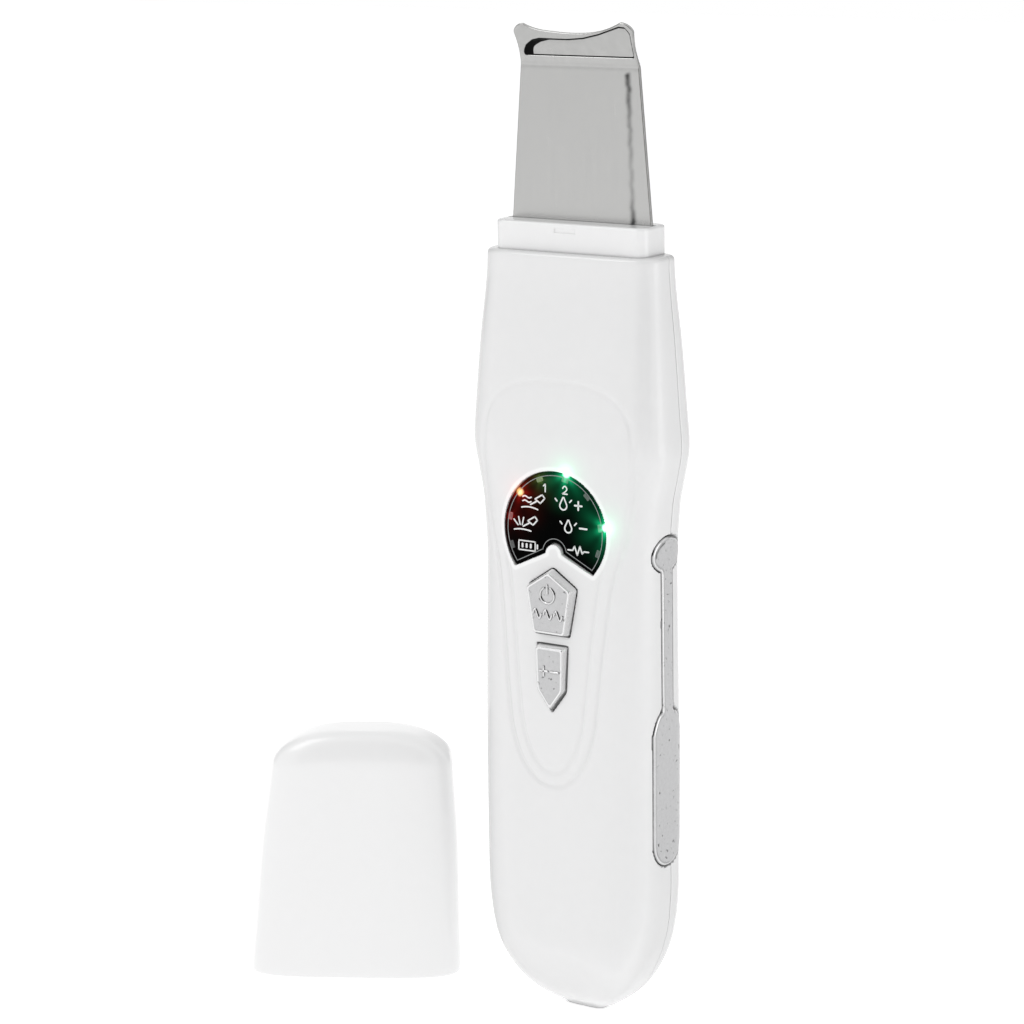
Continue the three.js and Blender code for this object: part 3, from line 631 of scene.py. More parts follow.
def lamp_glow(tree, layers, numbers, rays):
    """Paints the light that fades with the distance from each lit lamp, as emission."""
    where = node(tree, "TexCoord", {}).outputs["Object"]
    total = (0.0, 0.0, 0.0)
    for number in numbers:
        halo, core, power, _ = LAMP_LIGHT[number]
        offset = vector_calc(tree, "SUBTRACT", {0: where, 1: tuple(lamp_point(number) * MM)})
        length = vector_calc(tree, "LENGTH", {0: offset}, "Value")
        for reach, strength, steepness, hot in layers:
            value = calc(tree, "POWER", remap(tree, length, 1.0, 0.0, 0.0, reach * MM), steepness)
            if rays and not hot:
                value = ray_pattern(tree, offset, value)
            tint = [c * power * strength for c in (core if hot else halo)]
            glow = vector_calc(tree, "SCALE", {0: tint, "Scale": value})
            total = vector_calc(tree, "ADD", {0: total, 1: glow})
    set_up(tree, {"Emission Color": total, "Emission Strength": 1.0})


# ---------------------------------------------------------------- materials

# Painted light: how strongly the cap glows white, as a share of white, in place of the light its thin milky
# wall would pass on.
CAP_GLOW = 0.47


def gloss_white(name, dark, light):
    """Moulded plastic: a bright gloss skin with a faint orange peel and painted shade in its narrow gaps."""
    return surface(name, dark, light, (0.17, 0.27), 420, 0.05, coat=0.35, crease=0.55)


def lit_white(name, dark, light):
    """The body's gloss white, with painted shade towards its edges, a painted highlight on the rim round the
    display and the lamps' light painted on it.
    """
    material = gloss_white(name, dark, light)
    tree = material.node_tree
    darker_edges(tree, 0.86)
    # Painted highlight on the bead round the display, where the rim value is painted.
    by_attribute(tree, "rim", (0.97, 0.97, 0.97))
    # The lit lamps' light, painted on the shell as emission.
    lamp_glow(tree, SHELL_GLOW, BRIGHT_LAMPS, False)
    return material


def cap_white():
    # Painted light: a dim white under an even white glow, so that the whole cap looks softly lit.
    material = gloss_white("cap_white", (0.37, 0.37, 0.372), (0.385, 0.385, 0.387))
    set_up(material.node_tree, {"Emission Color": (1, 1, 1, 1), "Emission Strength": CAP_GLOW})
    return material


def window_black():
    dark, light = (0.0006, 0.0007, 0.0007), (0.0015, 0.0017, 0.0016)
    material = surface("window_black", dark, light, (0.03, 0.08), 500, 0.02)
    set_up(material.node_tree, {"Specular IOR Level": 0.006})
    # Painted glare of the lamps on the glass, as emission.
    lamp_glow(material.node_tree, GLASS_GLOW, sorted(LAMP_LIGHT), True)
    return material


def lamp_material(number):
    """A lamp under the glass: a dull diode, with the painted glare of the lit ones over it."""
    material, tree = new_material(f"lamp_{number}")
    noise = object_noise(tree, 2600, detail=1.0)
    set_up(tree, {"Base Color": between(tree, noise, (0.02, 0.022, 0.022), (0.12, 0.125, 0.125)),
                  "Roughness": between(tree, noise, 0.25, 0.5)})
    lamp_glow(tree, GLASS_GLOW, sorted(LAMP_LIGHT), True)
    if number in LAMP_LIGHT and number not in BRIGHT_LAMPS:
        halo = LAMP_LIGHT[number][0]
        glow = between(tree, noise, [c * 0.1 for c in halo], halo)
        set_up(tree, {"Emission Color": glow, "Emission Strength": 0.35})
    return material


def brushed_steel():
    """The blade: fine vertical brushing, with painted shade on the walls round its hollow and a painted dark
    reflection for the streak.
    """
    dark, light = (0.475, 0.475, 0.47), (0.515, 0.513, 0.505)
    material = surface("blade_steel", dark, light, (0.2, 0.3), 1100, 0.02, 1.0, stretch=(1, 1, 0.10))
    tree = material.node_tree
    # Painted shade and reflection, where the shade attribute is, mottled by noise.
    by_attribute(tree, "shade", (0.006, 0.006, 0.006), between(tree, object_noise(tree, 700), 0.55, 1.45))
    return material


def chrome_plate():
    """Satin chrome on moulded plastic: mottled, with scattered dark pits, painted highlights on its rims and
    painted shade in its furrows and gaps.
    """
    dark, light = (0.42, 0.42, 0.425), (0.53, 0.53, 0.535)
    material = surface("chrome_plate", dark, light, (0.10, 0.28), 1500, 0.16, 1.0, crease=0.05)
    tree = material.node_tree
    pits = remap(tree, object_noise(tree, 1150, detail=4.0), 0.0, 1.0, 0.64, 0.72)
    set_up(tree, {"Base Color": blend(tree, pits, base_colour(tree), (0.10, 0.10, 0.10))})
    # Painted highlight, where the gleam attribute is.
    by_attribute(tree, "gleam", (0.92, 0.92, 0.92))
    # Painted shade, where the shade attribute is, mottled by noise.
    by_attribute(tree, "shade", (0.03, 0.03, 0.03), between(tree, object_noise(tree, 500), 0.4, 1.5))
    return material


# Plain materials: dark and light colour, roughness from and to, grain, depth of relief and metal or not.
PLAIN = {
    "inner_white": ((0.66, 0.67, 0.68), (0.74, 0.74, 0.75), (0.4, 0.55), 600),
    "print_white": ((0.70, 0.71, 0.71), (0.78, 0.78, 0.78), (0.45, 0.6), 3000),
    "print_grey": ((0.20, 0.21, 0.21), (0.28, 0.29, 0.29), (0.4, 0.5), 3000),
    "lamp_off": ((0.10, 0.11, 0.11), (0.3, 0.31, 0.31), (0.2, 0.4), 2500),
    "board_green": ((0.01, 0.09, 0.03), (0.02, 0.16, 0.05), (0.35, 0.5), 1500),
    "switch_black": ((0.01, 0.01, 0.011), (0.03, 0.03, 0.032), (0.4, 0.6), 2500),
    "seal_rubber": ((0.16, 0.165, 0.17), (0.23, 0.235, 0.24), (0.7, 0.85), 1800, 0.2),
    "horn_aluminium": ((0.52, 0.53, 0.54), (0.62, 0.63, 0.64), (0.25, 0.4), 1500, 0.1, 1.0),
    "piezo_ceramic": ((0.60, 0.56, 0.44), (0.70, 0.66, 0.55), (0.5, 0.65), 2200),
    "screw_steel": ((0.42, 0.43, 0.44), (0.55, 0.56, 0.57), (0.2, 0.38), 2600, 0.1, 1.0),
    "battery_foil": ((0.50, 0.51, 0.53), (0.62, 0.63, 0.65), (0.3, 0.5), 500, 0.3, 1.0),
    "lead_red": ((0.35, 0.012, 0.01), (0.48, 0.02, 0.015), (0.4, 0.55), 1800),
    "lead_black": ((0.008, 0.008, 0.009), (0.02, 0.02, 0.022), (0.4, 0.55), 1800),
    "lead_yellow": ((0.55, 0.30, 0.01), (0.68, 0.40, 0.02), (0.4, 0.55), 1800),
}

LOOKS = {name: surface(name, *values) for name, values in PLAIN.items()}
LOOKS.update((f"lamp_{number}", lamp_material(number)) for number in range(1, 9))
LOOKS["shell_white"] = lit_white("shell_white", (0.768, 0.768, 0.771), (0.793, 0.793, 0.795))
# The collar's white is a lighter copy of the shell's: painted light that makes up for the shade falling on
# the collar, which is also a separate moulding.
LOOKS["collar_white"] = lit_white("collar_white", (0.82, 0.82, 0.823), (0.845, 0.845, 0.847))
LOOKS["cap_white"] = cap_white()
LOOKS["blade_steel"] = brushed_steel()
LOOKS["chrome_plate"] = chrome_plate()
LOOKS["window_black"] = window_black()

# ---------------------------------------------------------------- the body's form


def no_less(value, least):
    """Value, but blending smoothly into least where it is small."""
    return (value ** 4 + least ** 4) ** 0.25


def section(z, inset=0.0):
    """Half width, depth in front, depth behind and squareness of the body at heights z."""
    width = opening(z, HEEL["width_rise"], HEEL["width_power"])
    depth = opening(z, HEEL["depth_rise"], HEEL["depth_power"])
    half = no_less(along(STATIONS, "half", z) * width, FOOT["half"]) - inset
    front = no_less(along(STATIONS, "front", z) * depth, FOOT["front"]) - inset
    rear = no_less(along(STATIONS, "rear", z) * depth, FOOT["rear"]) - inset
    return half, front, rear, along(STATIONS, "power", z)


def beside(y, half, depth, power):
    """|x| of the skin where it passes y."""
    return half * (1 - np.clip(np.abs(y / depth), 0, 1) ** power) ** (1 / power)


def ahead_of(x, half, depth, power):
    """|y| of the skin where it passes x."""
    return depth * (1 - np.clip(np.abs(x / half), 0, 1) ** power) ** (1 / power)


class HalfGrid:
    """Columns over one cover, from its seam on -X across the face to its seam on +X.

    The face's columns end at the share FLAT of the half width, the corner's at the share TURN of the depth.
    """

    FLAT = 0.75
    TURN = 0.66

    def __init__(self, is_front, flat_steps, turn_steps, side_steps):
        self.front = is_front
        self.sign = -1 if is_front else 1
        self.flat = flat_steps
        self.turn = np.linspace(0, 1, turn_steps + 1)[1:]
        self.side = np.linspace(0, 1, side_steps)[1:]

    def ring(self, z, half, front, rear, power):
        """One row of the grid, round a section with these numbers."""
        depth = front if self.front else rear
        start = math.acos(self.FLAT ** (power / 2))
        end = math.asin(self.TURN ** (power / 2))
        angle = start + (end - start) * self.turn
        x_flat = self.flat * half
        y_turn = self.sign * depth * self.TURN
        y_side = y_turn + (SEAM_Y + self.sign * SEAM_HALF - y_turn) * self.side
        x = np.concatenate([x_flat, half * np.cos(angle) ** (2 / power),
                            beside(y_side, half, np.where(y_side < 0, front, rear), power)])
        y = np.concatenate([self.sign * ahead_of(x_flat, half, depth, power),
                            self.sign * depth * np.sin(angle) ** (2 / power), y_side])
        level = np.full(2 * len(x) - 1, float(z))
        return np.stack([np.concatenate([-x[:0:-1], x]), np.concatenate([y[:0:-1], y]), level], 1)

    def side_columns(self):
        return slice(0, len(self.side)), slice(-len(self.side), None)


def base_rings(grid, heights, inset=0.0):
    return np.array([grid.ring(z, *section(z, inset)) for z in heights])


def heel_heights():
    """Heights that follow the heel's rounding up from the foot."""
    return 28.0 * np.linspace(0, 1, 44)[:-1] ** 1.75


# ---------------------------------------------------------------- covers

WINDOW_POCKET_OUTLINE = fan_outline(0.16) + (0, WINDOW["z"])
BUTTON_POCKET_OUTLINES = [soften(grown(outline, BUTTON["slope"] + 0.14), 0.6)
                          for outline in (POWER_OUTLINE, MODE_OUTLINE)]

# A grid point is inside an outline when it is this far from it or further; those nearer sit on it.
EDGE = -0.02


def shape_front(rows):
    """Sinks the display and button pockets and the egg-shaped double groove into the front cover."""
    x, y, z = np.moveaxis(rows.copy(), -1, 0)
    window, *buttons = map(Outline, [WINDOW_POCKET_OUTLINE, *BUTTON_POCKET_OUTLINES])
    face = (np.abs(x) < 13.2) & (z > 30)
    for outline in (window, *buttons):
        outline.snap(x, z, 0.095, face)
    half, front, _, power = section(z)
    d = window.distance(x, z)
    sink = WINDOW_POCKET * (d < EDGE) - 0.10 * bell(d - 0.36, 0.24)
    for outline in buttons:
        d = outline.distance(x, z)
        sink = np.maximum(sink, BUTTON_POCKET * (d < EDGE)) + 0.07 * bell(d, 0.16) * (d > EDGE)
    ridge = Outline(groove_outline(), reach=6).distance(x, z)
    sink += 0.24 * bell(ridge, 0.42) * (1 - 0.6 * smooth(100, 116, z))
    sink += 0.20 * bell(ridge + 2.55, 0.42) * (1 - smooth(84, 98, z))
    return np.stack([x, np.where(face, -ahead_of(x, half, front, power), y) + sink, z], -1)


def shape_rear(rows):
    """Sinks the label recess into the rear cover."""
    x, y, z = np.moveaxis(rows.copy(), -1, 0)
    middle, tall = (RATING["top"] + RATING["bottom"]) / 2, (RATING["top"] - RATING["bottom"]) / 2
    label = Outline(box_outline(0, middle, RATING["half"], tall, RATING["corner"]))
    face = (y > 3) & (z > 30)
    label.snap(x, z, 0.14, face)
    half, _, rear, power = section(z)
    y = np.where(face, ahead_of(x, half, rear, power), y)
    return np.stack([x, y - np.clip(y - RATING["y"], 0, None) * (label.distance(x, z) < EDGE), z], -1)


def shape_sides(rows, grid):
    """The half of each strip's pocket that this cover holds, and the softened seam edge."""
    pocket = Outline(strip_outline(STRIP_GAP))
    for columns in grid.side_columns():
        x, y, z = np.moveaxis(rows[:, columns].copy(), -1, 0)
        pocket.snap(y, z, 0.12, np.abs(y - SEAM_Y - grid.sign * SEAM_HALF) > 0.15)
        half, front, rear, power = section(z)
        sunk = np.maximum(STRIP_POCKET * (pocket.distance(y, z) < EDGE), 0.12 * bell(y - SEAM_Y, 0.13))
        x = np.sign(x) * (beside(y, half, np.where(y < 0, front, rear), power) - sunk)
        on_heel = (z < 20)[..., None]
        rows[:, columns] = np.where(on_heel, rows[:, columns], np.stack([x, y, z], -1))
    return rows


def shoulder_rings(grid):
    """Rows over the rounded shoulder, across the flat top and down into the neck opening."""
    rows = []
    for turn in np.linspace(0, math.pi / 2, 7):
        z = BODY_TOP - SHOULDER + SHOULDER * math.sin(turn)
        rows.append(grid.ring(z, *section(z, SHOULDER * (1 - math.cos(turn)))))
    for z in (BODY_TOP, NECK_HOLE["bottom"]):
        rows.append(grid.ring(z, *(NECK_HOLE[key] for key in ("half", "front", "rear", "power"))))
    return np.array(rows)


def cover(name, heights, grid, features, holes, replaces):
    """One half of the body as a closed hollow shell with its features, seams and neck opening."""
    outer = np.concatenate([shape_sides(features(base_rings(grid, heights)), grid), shoulder_rings(grid)])
    inner_grid = HalfGrid(grid.front, np.linspace(0, HalfGrid.FLAT, 9), 8, 6)
    inside = np.concatenate([np.linspace(0, 26, 16), np.linspace(30, INNER_TOP - 1.2, 34)])
    inner = base_rings(inner_grid, inside + 1.2, WALL)
    inner[..., 2] = np.minimum(inside + INNER_BOTTOM, INNER_TOP)[:, None]
    shape = Shape()
    out, into = shape.grid(outer), shape.grid(inner)
    above_all = 200.0
    out_z = np.concatenate([outer[:len(heights), 0, 2], np.full(len(outer) - len(heights), above_all)])
    for edge in (0, -1):
        shape.stitch(out[:, edge], into[:, edge], out_z, inner[:, 0, 2])
    turns = [-np.arctan2(np.abs(rows[-1, :, 1]) + 3, rows[-1, :, 0]) for rows in (outer, inner)]
    shape.stitch(out[-1], into[-1], *turns)
    shape.close(out[0])
    shape.close(into[0])
    shape.close([out[0, 0], out[0, -1], into[0, -1], into[0, 0]])
    return piece(name, cut(shape.mesh(name), holes), "shell_white", replaces)


def front_cover():
    heights = np.concatenate([
        heel_heights(),
        spread((28, 58.2, 0.36), (58.2, 105, 0.185), (105, 121, 0.36), (121, BODY_TOP - SHOULDER - 0.9, 1.2)),
    ])
    grid = HalfGrid(True, spread((0, HalfGrid.FLAT, 0.0104)), 10, 31)
    openings = (fan_outline(-0.9) + (0, WINDOW["z"]), grown(POWER_OUTLINE, 0.5), grown(MODE_OUTLINE, 0.5))
    holes = [stack(Shape(), outline, ((0, 4.0), (0, 11.3)), facing_front) for outline in openings]
    obj = cover("front_cover", heights, grid, shape_front, holes, "front_shell")
    x, y, z = vertex_places(obj)
    away = Outline(WINDOW_POCKET_OUTLINE).distance(x, z)
    # Paints the highlight on the bead just outside the display pocket, on the front face only.
    paint(obj, "rim", 0.6 * smooth(0.95, 0.55, away) * smooth(0.0, 0.2, away) * (y < -5))


def rear_cover():
    heights = np.concatenate([
        heel_heights(),
        spread((28, 43.4, 0.5), (43.4, 44.6, 0.15), (44.6, 71.4, 0.5), (71.4, 72.6, 0.15),
               (72.6, 92.6, 0.4), (92.6, BODY_TOP - SHOULDER - 0.9, 1.2)),
    ])
    flat = spread((0, 0.46, 0.03), (0.46, 0.5, 0.008), (0.5, HalfGrid.FLAT, 0.02))
    inlet = soften([(-4.05, 1.7), (4.05, 1.7), (4.05, 4.9), (-4.05, 4.9)], 1.2)
    holes = [stack(Shape(), inlet, ((0, -3.0), (0, 12.1)), facing_up)]
    for x, z, seat in SCREWS:
        bore = disc_outline(x, z, COUNTERBORE)
        holes.append(stack(Shape(), bore, ((0, seat + 0.3), (0, 12.0)), facing_rear))
    cover("rear_cover", heights, HalfGrid(False, flat, 8, 24), shape_rear, holes, "rear_shell")


def screw_boss(number, x, z, seat):
    """The cup behind a bore of the rear cover that the screw's head sits in."""
    def ring(radius, height=None):
        ring_x, ring_z = x + radius * np.cos(TURNS), z + radius * np.sin(TURNS)
        half, _, rear, power = section(ring_z)
        wall = ahead_of(ring_x, half, rear, power) - WALL + 0.02
        return np.stack([ring_x, wall if height is None else np.full(len(TURNS), height), ring_z], 1)

    outside, shank, low, high = COUNTERBORE + 0.9, 1.25, seat - 1.2, seat + 0.02
    rings = [ring(outside), ring(outside, low), ring(shank, low), ring(shank, high), ring(COUNTERBORE, high),
             ring(COUNTERBORE)]
    piece(f"screw_boss_{number}", Shape().tube(rings), "shell_white")


# ---------------------------------------------------------------- neck and blade


def rounded_ring(half, front, rear, corner, z, per_side=200):
    """A rounded rectangle ring with even points along its long sides."""
    right, low, high = half - corner, corner - front, rear - corner
    centres = np.array([(right, low), (right, high), (-right, high), (-right, low)])
    parts = []
    for k, centre in enumerate(centres):
        turn = (k - 1) * math.pi / 2
        out = corner * np.array([math.cos(turn), math.sin(turn)])
        parts.append(np.linspace(centres[k - 1] + out, centre + out, 6 if k % 2 else per_side)[:-1])
        parts.append(arc(*centre, corner, turn, turn + math.pi / 2, 14)[:-1])
    flat = np.vstack(parts)
    return np.column_stack([flat, np.full(len(flat), z)])


def neck_collar():
    c, slot = COLLAR, BLADE_SLOT
    rings = [(0.0, z) for z in spread((BODY_TOP + 0.01, c["top"] - c["fillet"] - 0.1, 0.13))]
    for turn in np.linspace(0, math.pi / 2, 7):
        rings.append((c["fillet"] * (1 - math.cos(turn)), c["top"] - c["fillet"] * (1 - math.sin(turn))))
    rows = [rounded_ring(c["half"] - i, c["front"] - i, c["rear"] - i, c["corner"] - i, z) for i, z in rings]
    for outset, z in ((0.12, c["top"]), (0, c["top"] - 0.12), (0, c["top"] - slot["deep"])):
        reach = slot["thick"] / 2 + outset
        rows.append(rounded_ring(slot["half"] + outset, reach - BLADE["y"], reach + BLADE["y"], 0.3, z))
    rows = np.array(rows)
    mark = Outline(box_outline(-0.6, 146.1, 2.3, 0.5, 0.2))
    x, y, z = np.moveaxis(rows, -1, 0)
    face = y < 0.05 - c["front"]
    mark.snap(x, z, 0.075, face)
    y += 0.14 * (face & (mark.distance(x, z) < -0.01))
    piece("neck_collar_cover", Shape().solid(rows), "collar_white", "neck_collar")


# Half width of the flat blade at heights, from its root in the neck up to its bend.
BLADE_SIDES = {"z": (122.8, 133.4, 136.5, 143.9, BLADE["base"], BLADE["bend"]),
               "half": (5, 5, 12.4, 12.4, BLADE["base_half"], BLADE["bend_half"])}

# How strong the painted dark reflection streak beside the blade's right edge is at heights.
STREAK = {"z": (147.4, 149.5, 152, 158, 166, 170, 173.6, 174.4),
          "strength": (0.9, 0.6, 0.34, 0.32, 0.45, 0.66, 0.85, 0.0)}


def blade_half(v):
    """Half width of the blade at length v up its middle line, as if it were flat."""
    bend, bend_half = BLADE["bend"], BLADE["bend_half"]
    s = np.clip((v - bend) / TIP["horn_side"], 0, 1)
    waist = bend_half + (TIP["waist"] - bend_half) * np.sin(math.pi * s) * 0.9
    upper = waist + (TIP["horn_half"] - bend_half) * s ** 2
    return np.where(v > bend, upper, np.interp(v, BLADE_SIDES["z"], BLADE_SIDES["half"]))


def blade_end(fraction):
    """Length up the tip, past the bend, where the concave edge is, at a fraction of the half width."""
    x = np.abs(fraction) * TIP["horn_half"]
    peak = TIP["peak_x"]
    hollow = TIP["dip"] + (TIP["peak"] - TIP["dip"]) * np.clip(x / peak, 0, 1) ** 2.4
    over = np.clip((x - peak) / (TIP["horn_half"] - peak), 0, 1)
    horn = TIP["horn_side"] + (TIP["peak"] - TIP["horn_side"]) * np.sqrt(1 - over ** 2)
    lower_left = TIP["left_drop"] * smooth(-3.0, -10.0, fraction * TIP["horn_half"])
    return np.where(x < peak, hollow, horn) - lower_left


def bend_place(x, v, height):
    """Where a point of the flat blade goes once its tip leans forward; height counts to the front."""
    lean, radius = BLADE["tip_lean"], BLADE["bend_radius"]
    start = BLADE["bend"] - radius * math.tan(lean / 2)
    s = v - start
    turn = np.clip(s / (radius * lean), 0, 1) * lean
    past = np.clip(s - radius * lean, 0, None)
    y = -radius * (1 - np.cos(turn)) - past * math.sin(lean)
    z = np.where(s < 0, v, start + radius * np.sin(turn) + past * math.cos(lean))
    return np.stack([x, BLADE["y"] + y - height * np.cos(turn), z - height * np.sin(turn)], -1)


def soft_min(values, softness):
    values = np.array(values)
    return -softness * np.log(np.exp(-values / softness).sum(0))


def hollow_walls(x, v):
    """The tip's hollow in its own plane: distance in from its rim, and from the round left end of it.

    Its top follows the concave edge on the right and leaves it towards the left end.
    """
    h = HOLLOW
    up = v - BLADE["bend"]
    top = np.interp(x, h["x"], h["top"]) - up
    left = x - h["left"]
    scoop = soft_min([left * 1.1, h["right"] - x, top, up - h["bottom"]], 0.16)
    return scoop, soft_min([left, top * 1.6], 0.7)


def blade_shade(obj):
    """Paints shade and reflection on the front of the blade: its hollow's walls, its edges, the streak and
    its tip.
    """
    x, y, z = vertex_places(obj)
    lean, bend = BLADE["tip_lean"], BLADE["bend"]
    past = np.clip((z - bend) / math.cos(lean), 0, None)
    v = np.minimum(z, bend) + past
    scoop, left_end = hollow_walls(x, v)
    # Painted shade on the walls round the hollow and in the crescent at its left end.
    outline = smooth(0.0, 0.07, scoop) * smooth(0.32, 0.2, scoop)
    broad = 0.16 + 1.5 * smooth(-4.0, -9.5, x)
    crescent = smooth(-0.05, 0.12, scoop) * smooth(broad + 0.25, broad, left_end) * smooth(-0.5, -5.5, x)
    walls = 1.7 * np.maximum(outline, crescent) * (v > bend + 0.9)
    # A painted dark reflection: the streak beside the right edge.
    streak_x = np.interp(z, (147.8, 174.5), (11.0, 10.2)) + 0.12 * np.sin(z * 1.7) + 0.07 * np.sin(z * 4.3)
    streak = bell(x - streak_x, 0.58) * np.interp(z, STREAK["z"], STREAK["strength"])
    # Painted dark line along the blade's edges.
    rim = 0.45 * np.clip(1 - (blade_half(v) - np.abs(x)) / 0.3, 0, 1)
    # Painted shade over the leaning tip, with a darker band just below the bend.
    tip = 0.04 + 0.09 * smooth(-0.1, 0.3, v - bend) + 0.05 * smooth(1.2, 1.9, v - bend)
    tip = tip + 0.12 * bell(v - bend + 0.25, 0.55)
    front = y < BLADE["y"] - past * math.sin(lean) - 0.05
    # The front takes the strongest of these; the back gets a faint painted shade all over.
    paint(obj, "shade", np.where(front, np.maximum.reduce([walls, streak, rim, tip]), 0.05))


def scraper_blade():
    bend = BLADE["bend"]
    ease = 0.04 * (1 - np.cos(np.linspace(0, math.pi / 2, 10)))
    columns = np.concatenate([ease - 1, np.linspace(-0.96, 0.96, 201)[1:-1], 1 - ease[::-1]])
    low = spread((122.8, 133.2, 2.6), (133.2, 136.7, 0.5), (136.7, 143.7, 1.4), (143.7, 144.8, 0.12),
                 (144.8, 173.6, 0.8), (173.6, bend + 1.3, 0.1), (bend + 1.3, bend + 2.3, 0.04))
    steps = np.sin(np.linspace(0, math.pi / 2, 72))[1:, None]
    end = bend + blade_end(columns)
    v = np.vstack([np.repeat(low[:, None], len(columns), 1), low[-1] + (end - low[-1]) * steps])
    half = blade_half(v)
    x = columns * half
    inward = np.minimum.reduce([half - np.abs(x), 0.95 * np.maximum(end - v, 0), v - low[0]])
    round_off = 0.24
    thin = smooth(bend + 1, bend + 7.5, v)
    core = (BLADE["thick"] / 2 - round_off) * (1 - 0.45 * thin)
    thickness = core + round_off * round_out(1 - np.clip(inward / round_off, 0, 1))
    scoop, left_end = hollow_walls(x, v)
    hollow = 0.26 * smooth(0.0, 0.3, scoop) * (0.35 + 0.65 * smooth(-0.2, 1.6, left_end))
    shape = Shape()
    front = shape.grid(bend_place(x, v, thickness - hollow))
    back = shape.grid(bend_place(x, v, -thickness))
    shape.rim(front, back)
    blade_shade(piece("scraper_blade_fine", shape, "blade_steel", "scraper_blade", sharp=30))


# ---------------------------------------------------------------- display


def display():
    round_off = 0.18
    levels = [(0, -0.8)] + [(-round_off * (1 - math.cos(t)), -round_off * (1 - math.sin(t)))
                            for t in np.linspace(0, math.pi / 2, 5)]
    piece("display_glass", stack(Shape(), fan_outline(), levels, on_window), "window_black", "display_window")
    outer, inner = (grown(fan_outline(), -inset) for inset in (0.62, 0.76))
    rings = [on_window(ring[:, 0], ring[:, 1], np.full(len(ring), height))
             for ring, height in ((outer, -0.02), (outer, 0.02), (inner, 0.02), (inner, -0.02))]
    piece("display_border", Shape().tube(rings), "print_grey")
    piece("display_signs", signs_on_glass(), "print_white")


def stroke(shape, path, width):
    """A printed line along a path on the glass."""
    stack(shape, bar_outline(path, width), ((0, -0.03), (0, 0.035)), on_window)


def strokes(shape, corners, width):
    """Straight printed lines from each corner to the next."""
    for start, end in zip(corners, corners[1:]):
        stroke(shape, line(start, end), width)


def curve(points, steps=14):
    """A smooth open path through three points."""
    a, b, c = (np.array(p, float) for p in points)
    middle = 2 * b - (a + c) / 2
    t = np.linspace(0, 1, steps)[:, None]
    return (1 - t) ** 2 * a + 2 * t * (1 - t) * middle + t * t * c


def line(a, b):
    return np.linspace(np.array(a, float), np.array(b, float), 3)


def spatula(shape, x, z):
    """A small spatula: an open diamond head with a handle down to the left."""
    head = [(x + 0.55, z + 0.85), (x + 1.1, z + 0.25), (x + 0.15, z - 0.75), (x - 1.0, z - 0.05)]
    strokes(shape, [*head, head[0]], 0.28)
    strokes(shape, [(x - 0.75, z - 0.5), (x - 1.95, z - 1.15)], 0.3)


def drop(shape, x, z):
    """A drop of lotion between two short splash marks."""
    bulb = arc(x, z - 0.3, 0.75, math.radians(35), math.radians(-215), 20)
    stroke(shape, np.vstack([[(x + 0.1, z + 1.2)], bulb, [(x - 0.1, z + 1.2)]]), 0.28)
    for side in (-1, 1):
        strokes(shape, [(x + side * 1.35, z + 0.45), (x + side * 1.75, z + 0.85)], 0.28)


def wave(start, length, z, height):
    """One period of a wave."""
    x = np.linspace(start, start + length, 18)
    return np.stack([x, z + height * np.sin((x - start) / length * 2 * math.pi)], 1)


# Straight lines of the signs, as (width, corners): digits, steam, battery, plus, minus and pulse.
SIGN_LINES = (
    (0.26, (-2.5, 8.1), (-2.15, 8.42)),
    (0.26, (-2.12, 8.42), (-2.12, 7.05)),
    (0.26, (1.62, 7.06), (2.62, 7.06)),
    (0.27, (-8.85, 1.35), (-7.95, 0.4)),
    (0.27, (-7.85, 1.9), (-7.5, 0.5)),
    (0.27, (-6.75, 1.85), (-7.05, 0.5)),
    (0.25, (-7.75, -4.1), (-4.2, -4.1), (-4.2, -2.4), (-7.75, -2.4), (-7.75, -4.1)),
    (0.34, (-3.72, -3.55), (-3.72, -2.95)),
    (0.42, (-6.95, -3.5), (-6.95, -3.0)),
    (0.42, (-6.05, -3.5), (-6.05, -3.0)),
    (0.42, (-5.15, -3.5), (-5.15, -3.0)),
    (0.34, (4.25, 5.2), (5.75, 5.2)),
    (0.34, (5.0, 4.45), (5.0, 5.95)),
    (0.34, (5.35, 1.15), (6.85, 1.15)),
    (0.28, (2.9, -3.0), (3.9, -3.0), (4.3, -2.2), (4.9, -3.8), (5.45, -2.1), (5.95, -3.45), (6.25, -3.0),
     (7.3, -3.0)),
)


def signs_on_glass():
    """Generic signs: digits, two treatments, a battery, and plus, minus and pulse."""
    signs = Shape()
    for width, *corners in SIGN_LINES:
        strokes(signs, corners, width)
    stroke(signs, np.vstack([curve([(1.62, 8.05), (2.1, 8.46), (2.55, 8.02)]),
                             curve([(2.5, 7.85), (2.2, 7.5), (1.62, 7.1)])]), 0.24)
    for z in (5.72, 4.92):
        stroke(signs, wave(-6.95, 1.8, z, 0.16), 0.27)
    stroke(signs, curve([(-7.2, 3.72), (-5.5, 3.92), (-3.7, 3.6)]), 0.27)
    stroke(signs, curve([(-8.75, -0.5), (-7.0, -0.3), (-5.15, -0.5)]), 0.27)
    spatula(signs, -3.3, 5.55)
    spatula(signs, -4.85, 1.4)
    drop(signs, 1.8, 5.2)
    drop(signs, 2.9, 1.15)
    return signs


